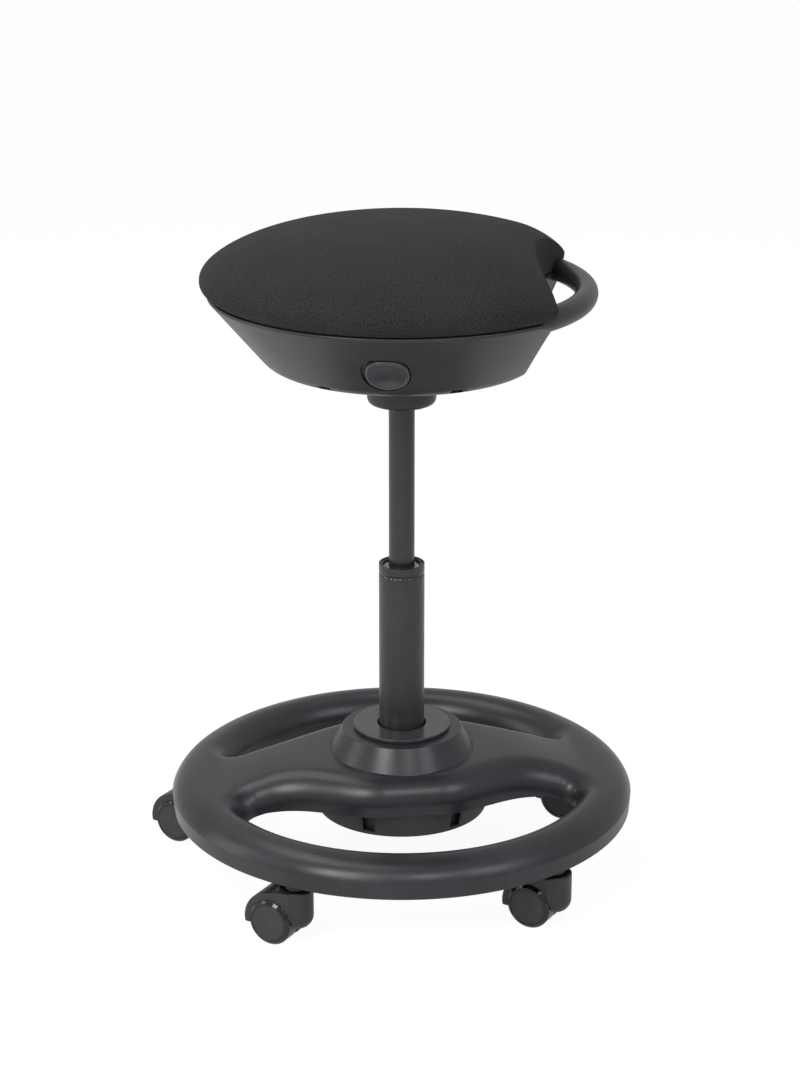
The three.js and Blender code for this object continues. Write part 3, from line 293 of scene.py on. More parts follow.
def wovenMaterial(name, look):
    # A plain weave on the piece's own UV map, in metres along the cloth: warp and weft are |sin| ridges that
    # swap which is on top from one crossing to the next, with lighter and darker threads and a soft nap. The colour
    # also carries a painted shade of this relief: lighter on the threads' crowns and where the warp is on top, darker
    # in the grooves between them.
    material, tree, output = newMaterial(name)
    place = addNode(tree, "ShaderNodeUVMap", {"uv_map": "cloth"}).outputs["UV"]
    waviness = addNode(tree, "ShaderNodeTexNoise", {"noise_dimensions": "2D"},
                       {"Vector": place, "Scale": 1000 / look["waverMm"], "Detail": 2.0})
    nudge = addNode(tree, "ShaderNodeVectorMath", {"operation": "MULTIPLY_ADD"},
                    {0: waviness.outputs["Color"], 1: (look["threadMm"] * 2.2 * mm,) * 3, 2: place})
    parts = addNode(tree, "ShaderNodeSeparateXYZ", None, {"Vector": nudge.outputs["Vector"]})

    def math2(operation, first, second=0.0):
        return addNode(tree, "ShaderNodeMath", {"operation": operation}, {0: first, 1: second}).outputs[0]

    pitch = math.pi / (look["threadMm"] * mm)
    warp = math2("SINE", math2("MULTIPLY", parts.outputs["X"], pitch))
    weft = math2("SINE", math2("MULTIPLY", parts.outputs["Y"], pitch))
    over = math2("MULTIPLY", warp, weft)  # above zero where the warp is on top
    warpRidge, weftRidge = (math2("MULTIPLY", math2("ABSOLUTE", thread), 0.5) for thread in (warp, weft))
    ridge = math2("ADD", warpRidge, weftRidge)
    fibre = addNode(tree, "ShaderNodeTexNoise", {"noise_dimensions": "2D"},
                    {"Vector": place, "Scale": 1000 / look["fibreMm"], "Detail": 3.0, "Roughness": 0.7})
    drift = addNode(tree, "ShaderNodeTexNoise", {"noise_dimensions": "2D"},
                    {"Vector": place, "Scale": 1000 / look["driftMm"], "Detail": 2.0})
    raised = math2("ADD", math2("MULTIPLY", over, 0.35), ridge)
    height = math2("ADD", raised, math2("MULTIPLY", fibre.outputs["Fac"], 0.9))
    # painted shade of the weave's relief: lighter where the threads stand high and where the warp is on top, darker in
    # the grooves
    shade = math2("ADD", math2("MULTIPLY", over, look["overShade"]), math2("MULTIPLY", ridge, 0.25))
    speckle = addNode(tree, "ShaderNodeMapRange", None,
                      {"Value": fibre.outputs["Fac"], "From Min": 0.36, "From Max": 0.66,
                       "To Min": -look["speckle"], "To Max": look["speckle"]})
    fleck = addNode(tree, "ShaderNodeTexNoise", {"noise_dimensions": "2D"},
                    {"Vector": place, "Scale": 1000 / look["fleckMm"], "Detail": 1.0})
    pale = addNode(tree, "ShaderNodeMapRange", None,
                   {"Value": fleck.outputs["Fac"], "From Min": 0.64, "From Max": 0.74, "To Min": 0.0,
                    "To Max": look["fleck"]})
    tone = math2("ADD", math2("ADD", shade, speckle.outputs["Result"]), math2("MULTIPLY", drift.outputs["Fac"], 0.3))
    tone = math2("ADD", tone, pale.outputs["Result"])
    spread = addNode(tree, "ShaderNodeMapRange", None,
                     {"Value": tone, "From Min": -0.25, "From Max": 0.85})
    colour = addNode(tree, "ShaderNodeMix", {"data_type": "RGBA"},
                     {"Factor": spread.outputs["Result"], 6: linear(look["dark"]), 7: linear(look["light"])})
    bump = addNode(tree, "ShaderNodeBump", None,
                   {"Height": height, "Strength": look["bump"], "Distance": look["depthMm"] * mm})
    shader = addNode(tree, "ShaderNodeBsdfPrincipled", None,
                     {"Base Color": colour.outputs[2], "Roughness": look["rough"], "IOR": 1.45,
                      "Sheen Weight": look["sheen"], "Sheen Roughness": 0.45, "Sheen Tint": linear(look["sheenTint"]),
                      "Specular IOR Level": 0.25, "Normal": bump.outputs["Normal"]})
    tree.links.new(shader.outputs["BSDF"], output.inputs["Surface"])
    return material


# Polyester upholstery cloth, plain woven from twisted yarn: near black with pale specks.
# The real threads are about 0.8 mm apart; they are drawn at 1.7 mm so that they show in the picture.
wovenCover = wovenMaterial("woven_polyester_cover", dict(
    dark="#0f0f10", light="#343436", threadMm=1.7, fibreMm=1.5, waverMm=5, driftMm=80, overShade=0.06,
    speckle=0.42, fleckMm=1.9, fleck=0.9, bump=0.5, depthMm=0.5, rough=0.95, sheen=0.06, sheenTint="#9a9aa2"))
print("materials ready")


# ---- gas lift, collar and cover disc: profiles turned about the column ----

lift = dict(tubeRadius=25.0, tubeTop=350.3, tubeFoot=72.3, taperTop=142.0, taperRadius=24.2, bore=23.2,
            mouthFoot=349.4, crimpMiddle=339.8, crimpHeight=4.4, crimpDepth=0.75, dentDepth=0.9, dentWide=1.3,
            dentTall=1.5, dentAngles=(-122.0, -104.0, 30.0, 150.0))


def tubeSurface():
    # A long profile down the tube; the crimp is a cosine dip in the radius, and each dent is a small bell in it
    heights = np.concatenate([
        np.linspace(lift["tubeFoot"], 150, 8), np.linspace(160, 330, 30), np.linspace(332, lift["mouthFoot"], 40)])
    taper = lift["taperRadius"] + 0.8 * np.clip((heights - lift["tubeFoot"]) / 70, 0, 1)
    radius = np.where(heights < lift["taperTop"], taper, lift["tubeRadius"])
    away = np.abs(heights - lift["crimpMiddle"]) / (lift["crimpHeight"] / 2)
    radius = radius - lift["crimpDepth"] * np.where(away < 1, (1 + np.cos(math.pi * away)) / 2, 0)
    outside = np.stack([radius, heights], -1)
    mouth = softened([(lift["tubeRadius"], lift["mouthFoot"]), (lift["tubeRadius"], lift["tubeTop"], 0.5),
                      (lift["bore"], lift["tubeTop"], 0.4), (lift["bore"], 344.0)], steps=4, loop=False)
    inside = np.array([[lift["bore"], 300], [lift["bore"], 145], [22.4, 80], [22.4, 76.3], [5.3, 76.3], [5.3, 72.3]])
    profile = np.concatenate([outside, mouth[1:], inside])
    grid = turnedGrid(profile, 128)
    angles = np.arctan2(grid[..., 1], grid[..., 0])
    apart = (angles[..., None] - np.radians(lift["dentAngles"]) + math.pi) % (2 * math.pi) - math.pi
    spread = np.min(np.abs(apart), -1) * lift["tubeRadius"]
    above = grid[..., 2] - lift["crimpMiddle"]
    dent = lift["dentDepth"] * np.exp(-((spread / lift["dentWide"]) ** 2) - (above / lift["dentTall"]) ** 2)
    dent[np.hypot(grid[..., 0], grid[..., 1]) < 24] = 0
    grid[..., :2] *= (1 - dent / lift["tubeRadius"])[..., None]
    return grid


outerTube = pieceFrom("tube_skin", [(tubeSurface(), True, True)], "base", powderCoat)
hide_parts("outer_tube")


def turnedPiece(name, node, corners, sides, body, material, steps=5):
    piece = pieceFrom(name, [(turnedGrid(softened(corners, steps), sides), True, True)], body, material)
    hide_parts(node)


turnedPiece("piston_skin", "gas_piston", [
    (11.5, 266.3), (14, 266.3, 0.8), (14, 531.8), (13.3, 593.8, 0.8), (4, 593.8, 0.4), (4, 571.8), (0.01, 571.8),
    (0.01, 559.8), (11.5, 559.8)], 96, "seat", powderCoat)
turnedPiece("bush_skin", "guide_bush", [
    (14.4, 283.3), (22.9, 283.3, 0.4), (22.9, 345.3, 0.4), (14.4, 345.3, 1.0)], 96, "base", mouldedNylon)
turnedPiece("wiper_skin", "wiper_washer", [
    (14.4, 345.6, 0.3), (20, 345.6), (20, 347.2, 0.5), (14.4, 347.2, 0.6)], 96, "base", platedSteel)

crownRing = dict(inner=20.3, outer=22.9, foot=345.6, top=349.6, notches=10, notchHalf=4.2, notchDepth=1.6)


def crownRingSurface():
    # a square-edged ring whose top drops in ten notches, each a steep cosine step in the angle
    profile = softened([(crownRing["inner"], crownRing["foot"]), (crownRing["outer"], crownRing["foot"]),
                        (crownRing["outer"], crownRing["top"], 0.3), (crownRing["inner"], crownRing["top"], 0.3)], 3)
    grid = turnedGrid(profile, 360)
    angles = np.degrees(np.arctan2(grid[..., 1], grid[..., 0]))
    pitch = 360 / crownRing["notches"]
    away = np.abs((angles + pitch / 2) % pitch - pitch / 2)
    dip = crownRing["notchDepth"] * np.clip((crownRing["notchHalf"] + 0.8 - away) / 1.2, 0, 1)
    upper = grid[..., 2] > crownRing["foot"] + 2
    grid[..., 2] -= np.where(upper, dip, 0)
    return grid


crownPiece = pieceFrom("crown_ring_skin", [(crownRingSurface(), True, True)], "base", mouldedNylon)
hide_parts("tube_crown_ring")

turnedPiece("collar_skin", "column_collar", [
    (15.5, 531, 0.4), (36.8, 531, 8.0), (38.6, 577, 0.6), (35.6, 577, 0.6), (33.8, 538, 3.0), (15.5, 534, 0.4)],
    128, "seat", mouldedShell, steps=8)
turnedPiece("cover_disc_skin", "hub_cover_disc", [
    (27, 156.3, 0.4), (30.3, 156.3), (30.3, 158.3), (52.9, 158.3, 0.8), (53.7, 162.5, 1.1), (27, 162.5, 0.7)],
    160, "base", polishedDisc, steps=6)
print("column done")


# ---- foot ring ----

ring = dict(foot=70.5, crown=109.0, hubBase=133.4, hubBaseRadius=80.0, inner=200.0, crownRadius=205.0, outer=256.0,
            widest=88.5, footRadius=254.9, fallPower=2.4, fallEase=1.5, roll=29.0, draft=2.0, corner=17.0,
            waistHalf=59.0, backWaistHalf=60.0, waistFrom=152.0, hubHalf=102.0, shoulder=26.0, skirtFoot=84.0,
            bridgeUnder=94.0, bridgeUnderRadius=102.0, wall=4.0, join=231.0, hubUnder=60.0, hubReach=80.0,
            edgeShare=0.955, shoulderPower=3.6, shoulderRoot=2.2, ribCount=10, ribHalf=1.5, ribGap=5.5,
            casterCircle=235.0, casterAngles=(-126, -54, 18, 90, 162))


def upperFace(radius):
    # falls from the hub to the crown as 1 - (1 - share ^ 2.4) ^ 1.5 of the way out
    share = np.clip((radius - ring["hubBaseRadius"]) / (ring["crownRadius"] - ring["hubBaseRadius"]), 0, 1)
    fall = 1 - (1 - share ** ring["fallPower"]) ** ring["fallEase"]
    return ring["hubBase"] - (ring["hubBase"] - ring["crown"]) * fall


def shoulderFace(radius):
    # low + (crown - low) (1 - u^3.6)^(1/2.2), cut off at u = 0.955 so that it meets the side wall in a crisp edge
    reach = (ring["outer"] - ring["crownRadius"]) / ring["edgeShare"]
    atEdge = (1 - ring["edgeShare"] ** ring["shoulderPower"]) ** (1 / ring["shoulderRoot"])
    low = (ring["widest"] - atEdge * ring["crown"]) / (1 - atEdge)
    share = np.clip((radius - ring["crownRadius"]) / reach, 0, 1)
    return low + (ring["crown"] - low) * (1 - share ** ring["shoulderPower"]) ** (1 / ring["shoulderRoot"])


def topFace(radius):
    return np.minimum(upperFace(radius), np.where(radius > ring["crownRadius"], shoulderFace(radius), 1e9))


def cornerPlace(waistHalf):
    # centre of the opening's round corner: corner away from both the ring's inner circle and the bridge's edge
    y = -(waistHalf + ring["corner"])
    return math.sqrt((ring["inner"] - ring["corner"]) ** 2 - y ** 2), y


def openingOutline(waistHalf, arcCount=150, cornerCount=48, bridgeCount=150):
    # anticlockwise: an arc of the ring's inner circle, a round corner, the bridge's edge as
    # -(waist + swell (1 + cos) / 2), and a round corner
    cornerX, cornerY = cornerPlace(waistHalf)
    farX = cornerPlace(ring["waistHalf"])[0]
    cornerAngle = math.atan2(cornerY, cornerX)
    a = np.linspace(-math.pi - cornerAngle, cornerAngle, arcCount + 1)[:-1]
    arc = ring["inner"] * np.stack([np.cos(a), np.sin(a)], -1)
    b = np.linspace(cornerAngle, math.pi / 2, cornerCount + 1)
    right = np.array([cornerX, cornerY]) + ring["corner"] * np.stack([np.cos(b), np.sin(b)], -1)
    x = np.linspace(cornerX, -cornerX, bridgeCount + 1)
    share = np.clip((np.abs(x) - ring["shoulder"]) / (ring["waistFrom"] - ring["shoulder"]), 0, 1)
    edge = waistHalf + (ring["hubHalf"] - waistHalf) * (1 + np.cos(math.pi * share)) / 2
    bridge = np.stack([x, -edge], -1)
    outline = np.concatenate([arc, right[:-1], bridge[:-1], (right[1:] * [-1, 1])[::-1]])
    # where each point meets the far side of its strip: the join circle, then the bridge's middle line
    c = np.linspace(-math.pi, 0, arcCount + cornerCount + 1)
    circle = ring["join"] * np.stack([np.cos(c), np.sin(c)], -1)
    half = cornerCount // 2
    line = np.stack([np.linspace(ring["join"], farX, half + 1), np.zeros(half + 1)], -1)
    x = np.linspace(farX, -farX, bridgeCount + 1)
    dip = ring["hubUnder"] * (1 + np.cos(math.pi * np.clip(x / ring["hubReach"], -1, 1))) / 2
    middle = np.stack([x, -dip], -1)
    far = np.concatenate([circle[half:-1], line[:-1], middle[:-1], (line[1:] * [-1, 1])[::-1], circle[:half]])
    return outline, far


def openingGrid(waistHalf):
    outline, far = openingOutline(waistHalf)
    along = np.roll(outline, -1, 0) - np.roll(outline, 1, 0)
    along /= np.linalg.norm(along, axis=1)[:, None]
    outward = np.stack([along[:, 1], -along[:, 0]], -1)
    radius = np.linalg.norm(outline, axis=1)
    wallTop = topFace(np.minimum(radius, ring["inner"])) - ring["roll"]
    under = np.interp(radius, [ring["bridgeUnderRadius"], ring["inner"]], [ring["bridgeUnder"], ring["skirtFoot"]])
    # below the arc the wall reaches the ring's foot; in the corners it rises to the bridge's underside
    away = np.clip((ring["inner"] - radius) / 7.0, 0, 1)
    under = ring["foot"] + (under - ring["foot"]) * (3 * away ** 2 - 2 * away ** 3)
    under = np.minimum(under, wallTop - 3.0)
    rows = []
    for share in (0, 0.04, 0.34, 0.67):
        height = under + (wallTop - under) * share
        lean = ring["draft"] * (wallTop - height) / np.maximum(wallTop - ring["foot"] + 6, 1)
        plan = outline + outward * lean[:, None]
        rows.append(np.concatenate([plan, height[:, None]], 1))
    for angle in np.radians(np.linspace(0, 90, 15)):
        plan = outline + outward * ring["roll"] * (1 - math.cos(angle))
        spot = np.linalg.norm(plan, axis=1)
        rows.append(np.concatenate([plan, (topFace(spot) + ring["roll"] * (math.sin(angle) - 1))[:, None]], 1))
    edge = rows[-1][:, :2]
    for share in np.linspace(0, 1, 14)[1:]:
        plan = edge + (far - edge) * share
        rows.append(np.concatenate([plan, topFace(np.linalg.norm(plan, axis=1))[:, None]], 1))
    return np.stack(rows), far


def outerGrid(far):
    # outer shoulder and skirt, on the same angles as the strip's far side
    onCircle = np.abs(np.linalg.norm(far, axis=1) - ring["join"]) < 1e-6
    angles = np.sort(np.arctan2(far[onCircle, 1], far[onCircle, 0]))
    angles = angles[(angles > -math.pi + 1e-6) & (angles < -1e-6)]
    angles = np.concatenate([[-math.pi], angles, [0.0]])
    reach = ring["outer"] - ring["join"]
    r = ring["join"] + reach * (1 - (1 - np.linspace(0, 1, 20)) ** 1.7)
    bulge = np.stack([r, topFace(r)], -1)
    skirt = softened([(ring["outer"], ring["widest"]), (ring["outer"] - 0.1, ring["widest"] - 0.7, 0.3),
                      (ring["outer"] - 0.1, ring["widest"] - 2), (ring["footRadius"], ring["foot"] + 1.2, 0.6),
                      (ring["footRadius"] - 1.2, ring["foot"])], 3, loop=False)
    profile = np.concatenate([bulge, skirt[1:]])
    return np.stack([profile[:, 0][:, None] * np.cos(angles), profile[:, 0][:, None] * np.sin(angles),
                     profile[:, 1][:, None] + 0 * angles], -1)


front, far = openingGrid(ring["waistHalf"])
back = turnedBy(openingGrid(ring["backWaistHalf"])[0], math.pi)
side = outerGrid(far)
ringTop = pieceFrom("foot_ring_skin", [
    (front, False, True), (back, False, True),
    (side, False, False), (turnedBy(side, math.pi), False, False)], "base", mouldedRing, weld=0.05)
addModifier(ringTop, "SOLIDIFY", dict(thickness=ring["wall"] * mm, offset=-1, use_even_offset=False, use_rim=True))
ringTop = applyModifiers(ringTop)

hubProfile = softened([
    (30.6, 70.3), (36.6, 70.3), (36.6, 150), (62.5, 150), (77.5, 123.5), (83.2, 123.5), (83.2, 128.2, 0.3),
    (65.9, 158, 1.6), (30.6, 158, 0.5)], 5)
hubPiece = pieceFrom("hub_skin", [(turnedGrid(hubProfile, 192), True, True)], "base", mouldedRing)


def bothOpenings(*counts):
    return openingOutline(ring["waistHalf"], *counts)[0], -openingOutline(ring["backWaistHalf"], *counts)[0]


def insideOpening(points):
    # even-odd test of many points against both openings' outlines
    inside = np.zeros(len(points), bool)
    for shape in bothOpenings(60, 16, 60):
        x1, y1 = shape[:, 0], shape[:, 1]
        x2, y2 = np.roll(x1, -1), np.roll(y1, -1)
        px, py = points[:, 0][:, None], points[:, 1][:, None]
        crosses = (y1 > py) != (y2 > py)
        at = (x2 - x1) * (py - y1) / np.where(y2 == y1, 1e-9, y2 - y1) + x1
        inside |= (np.sum(crosses & (px < at), axis=1) % 2).astype(bool)
    return inside


def skinAbove(points):
    # the moulding's upper face: over an opening's edge it follows the roll, H + roll (sqrt(1 - (1 - d / roll)^2) - 1)
    radius = np.linalg.norm(points, axis=1)
    away = np.full(len(points), 1e9)
    for shape in bothOpenings(100, 24, 100):
        away = np.minimum(away, np.linalg.norm(points[:, None] - shape[None], axis=2).min(1))
    share = np.clip(1 - away / ring["roll"], 0, 1)
    return topFace(radius) + ring["roll"] * (np.sqrt(1 - share ** 2) - 1), away


def ribGrids():
    # ten radial plates in the hollow that stop short of the openings' walls and of the skin
    grids = []
    half, gap = ring["ribHalf"], ring["ribGap"]
    for number in range(ring["ribCount"]):
        angle = math.radians(360 / ring["ribCount"] * (number + 0.5))
        r = np.arange(38, 249, 1.0)
        line = np.stack([r * math.cos(angle), r * math.sin(angle)], -1)
        skin, away = skinAbove(line)
        solid = ~insideOpening(line) & (away > gap)
        changes = np.flatnonzero(np.diff(np.concatenate([[0], solid.astype(int), [0]])))
        for first, last in changes.reshape(-1, 2):
            if last - first < 10:
                continue
            span = r[first:last:3]
            top = skin[first:last:3] - gap
            foot = np.where(span > 205, 88.0, np.interp(span, [102, 199], [97, 88]))
            top = np.maximum(top, foot + 0.5)
            loop = np.stack([np.stack([span, np.full_like(span, y), height], -1)
                             for y, height in ((-half, foot), (half, foot), (half, top), (-half, top))], 1)
            closed = np.concatenate([part.mean(1, keepdims=True).repeat(4, 1) if len(part) == 1 else part
                                     for part in (loop[:1], loop, loop[-1:])])
            grids.append((turnedBy(closed, angle), False, True))
    return grids


ribs = pieceFrom("ring_ribs", ribGrids(), "base", mouldedRing, smooth=False)
casterSpots = [ring["casterCircle"] * np.array([math.cos(angle), math.sin(angle), 0])
               for angle in map(math.radians, ring["casterAngles"])]
bossProfile = softened([(5.8, 69.5, 0.3), (12.6, 69.5, 0.5), (13, 94), (5.8, 94)], 3)
bossGrids = [(turnedGrid(bossProfile, 40) + spot, True, True) for spot in casterSpots]
bosses = pieceFrom("ring_bosses", bossGrids, "base", mouldedRing)
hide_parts("foot_ring")
print("foot ring done:", len(ringTop.data.polygons), "faces")

# ---- hub drum: a slotted cup ----

drum = dict(footRadius=94.6, topRadius=98.5, foot=65.8, top=93.7, sill=69.6, wall=3.0, slots=6, slotHalf=6.8,
            slotRadius=94.0)


def drumGrid():
    # wall angles run with the slots' edges on the grid; the faces of the slots are left out
    pitch = 360 / drum["slots"]
    halfAngle = math.degrees(drum["slotHalf"] / drum["slotRadius"])
    one = np.concatenate([np.linspace(-halfAngle, halfAngle, 5)[:-1],
                          np.linspace(halfAngle, pitch - halfAngle, 25)[:-1]])
    angles = np.radians(np.concatenate([one + pitch * i for i in range(drum["slots"])]))
    heights = np.array([drum["foot"] + 0.9, 68, drum["sill"], 76, 80, 84, 88, 91, drum["top"]])
    share = (heights - drum["foot"]) / (drum["top"] - drum["foot"])
    radius = drum["footRadius"] + (drum["topRadius"] - drum["footRadius"]) * share
    wall = np.stack([radius, heights], -1)
    floor = np.array([[22.0, 0], [40, 0], [70, 0], [90, 0], [93.6, 0.0], [94.4, 0.35]]) + [0, drum["foot"]]
    profile = np.concatenate([floor, wall])
    grid = np.stack([profile[:, 0][:, None] * np.cos(angles), profile[:, 0][:, None] * np.sin(angles),
                     profile[:, 1][:, None] + 0 * angles], -1)
    faces = gridFaces(grid.shape[0], grid.shape[1], False, True).reshape(grid.shape[0] - 1, grid.shape[1], 4)
    keep = np.ones(faces.shape[:2], bool)
    sillRow = len(floor) + 2
    slotColumns = np.arange(grid.shape[1]) % len(one) < 4
    keep[sillRow:, slotColumns] = False
    return grid, faces[keep]


drumPiece = pieceFrom("hub_drum_skin", [drumGrid()], "base", mouldedDrum)
addModifier(drumPiece, "SOLIDIFY", dict(thickness=drum["wall"] * mm, offset=-1, use_even_offset=True, use_rim=True))
addModifier(drumPiece, "BEVEL", dict(width=0.5 * mm, segments=2, limit_method="ANGLE", angle_limit=math.radians(40)))
drumPiece = applyModifiers(drumPiece)
# the cup's inner wall, seen through the slots
linerProfile = softened([(86, 69.0), (88.4, 69.0, 0.3), (91.4, 93.0, 0.3), (89, 93.0)], 3)
drumLiner = pieceFrom("hub_drum_liner", [(turnedGrid(linerProfile, 128), True, True)], "base", mouldedDrum)
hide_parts("hub_drum")
print("drum done")

# ---- seat shell, in the seat's own axes: X to the handle, -Y to the button ----

shell = dict(foot=575.8, height=78.5, footRadius=141.0, slope=0.85, rimRadius=205.0, roundTop=587.0, roundRadius=127.0,
             wall=3.2, flareLow=649.4, flareHigh=651.0, bead=3.0, ledge=641.0, notchRadius=285.0,
             notchDepthRadius=140.5, notchDraft=14.0, cornerRound=4.0, handleRadius=194.0, handleBar=12.3,
             handleFull=35.0, handleReach=44.0, handleEnd=2.2, slotAngles=(-118, -62, 62, 118), slotWidth=15.0,
             slotLow=578.2, slotHigh=583.4, slotReach=(120.0, 165.0))
rimTop = shell["foot"] + shell["height"]
coneSlope = shell["slope"]


def coneAt(height):
    return shell["footRadius"] + coneSlope * (height - shell["foot"])


def skinAt(height):
    # the cone with its rounded foot: P0 (1 - t)^2 + 2 P1 t (1 - t) + P2 t^2, whose height goes with t^2
    t = np.sqrt(np.clip((height - shell["foot"]) / (shell["roundTop"] - shell["foot"]), 0, 1))
    foot = (shell["roundRadius"] * (1 - t) ** 2 + 2 * coneAt(shell["foot"]) * t * (1 - t)
            + coneAt(shell["roundTop"]) * t ** 2)
    return np.where(height < shell["roundTop"], foot, coneAt(height))


def notchWall(y, height):
    # circle of the notch's wall, leaning in towards the foot and upright above the rim
    lean = shell["notchDraft"] * np.clip((rimTop - height) / shell["height"], 0, 2)
    return (shell["notchDepthRadius"] + shell["notchRadius"]
            - np.sqrt(np.maximum(shell["notchRadius"] ** 2 - y ** 2, 1)) - lean)


def notchCorner(radius, height, inset):
    # half width at which the notch's wall meets a circle, by halving
    low, high = 0.0, radius
    for _ in range(50):
        middle = (low + high) / 2
        if radius ** 2 - middle ** 2 - (notchWall(middle, height) - inset) ** 2 > 0:
            low = middle
        else:
            high = middle
    return low


def roundedCorner(start, tip, end, steps):
    # inner points of start (1 - s)^2 + 2 tip s (1 - s) + end s^2
    s = np.linspace(0, 1, steps + 1)[1:-1, None]
    return start * (1 - s) ** 2 + tip * 2 * s * (1 - s) + end * s ** 2


windowSteps = 60  # quads across the button's window
cornerSteps = 8


def notchedOutline(radius, height, inset):
    # closed outline of a disc cut by the notch: the wall from its near to its far corner, then the arc back round;
    # given with the number of the first point of the button's window
    cut = radius > notchWall(0.0, height) - inset + 0.5
    y = notchCorner(radius, height, inset) if cut else radius * math.sin(math.radians(9))
    cornerAngle = math.asin(y / radius)
    gap = min(shell["cornerRound"], 0.3 * y)
    wallY = np.linspace(-y + gap, y - gap, 70)
    if cut:
        wallX = notchWall(wallY, height) - inset
    else:
        wallX = np.sqrt(radius ** 2 - wallY ** 2)
    wall = np.stack([wallX, wallY], -1)
    backOff = gap / radius
    window = shell["window"]
    rest = np.linspace(cornerAngle + backOff, 1.5 * math.pi - window, 170)
    across = np.linspace(1.5 * math.pi - window, 1.5 * math.pi + window, windowSteps + 1)
    last = np.linspace(1.5 * math.pi + window, 2 * math.pi - cornerAngle - backOff, 31)
    a = np.concatenate([rest[:-1], across, last[1:]])
    arc = np.stack([radius * np.cos(a), radius * np.sin(a)], -1)
    tip = np.array([radius * math.cos(cornerAngle), y])
    farCorner = roundedCorner(wall[-1], tip, arc[0], cornerSteps)
    nearCorner = roundedCorner(arc[-1], tip * [1, -1], wall[0], cornerSteps)
    return np.concatenate([wall, farCorner, arc, nearCorner]), len(wall) + len(farCorner) + len(rest) - 1


button = dict(width=44.4, length=49.0, gap=2.8, bezel=1.0, bezelDepth=1.0, dish=3.2, dishLow=9.0,
              dishWide=13.0, dishTall=9.0, edge=2.6, proud=0.9,
              windowShift=-1.4, upperPower=0.72, lowerPower=0.98, centre=605.6, windowHalf=31.0,
              windowLow=581.6, windowHigh=630.5)
buttonHeight = button["centre"]
buttonRadius = coneAt(buttonHeight)
shell["window"] = button["windowHalf"] / buttonRadius
pressAngle = math.atan(coneSlope)
acrossPad = np.array([1.0, 0, 0])
upPad = np.array([0, -math.sin(pressAngle), math.cos(pressAngle)])
outPad = np.array([0, -math.cos(pressAngle), -math.sin(pressAngle)])
padCentre = np.array([0, -buttonRadius, buttonHeight])


def padOutline(angles, grow):
    # superellipse: half width |cos|^power and half length |sin|^power, squarer above than below
    c, s = np.cos(angles), np.sin(angles)
    power = np.where(s > 0, button["upperPower"], button["lowerPower"])
    u = (button["width"] / 2 + grow) * np.sign(c) * np.abs(c) ** power
    v = (button["length"] / 2 + grow) * np.sign(s) * np.abs(s) ** power
    return u, v


def onPad(u, v, depth):
    return padCentre + u[..., None] * acrossPad + v[..., None] * upPad + np.asarray(depth)[..., None] * outPad


def ontoCone(u, v):
    # the point of the cone straight behind a place on the pad's plane, by Newton steps along the press line
    depth = np.zeros_like(u)
    for _ in range(8):
        p = onPad(u, v, depth)
        radius = np.hypot(p[..., 0], p[..., 1])
        miss = radius - coneAt(p[..., 2])
        slope = (p[..., 1] * outPad[1]) / radius - coneSlope * outPad[2]
        depth = depth - miss / slope
    return onPad(u, v, depth)


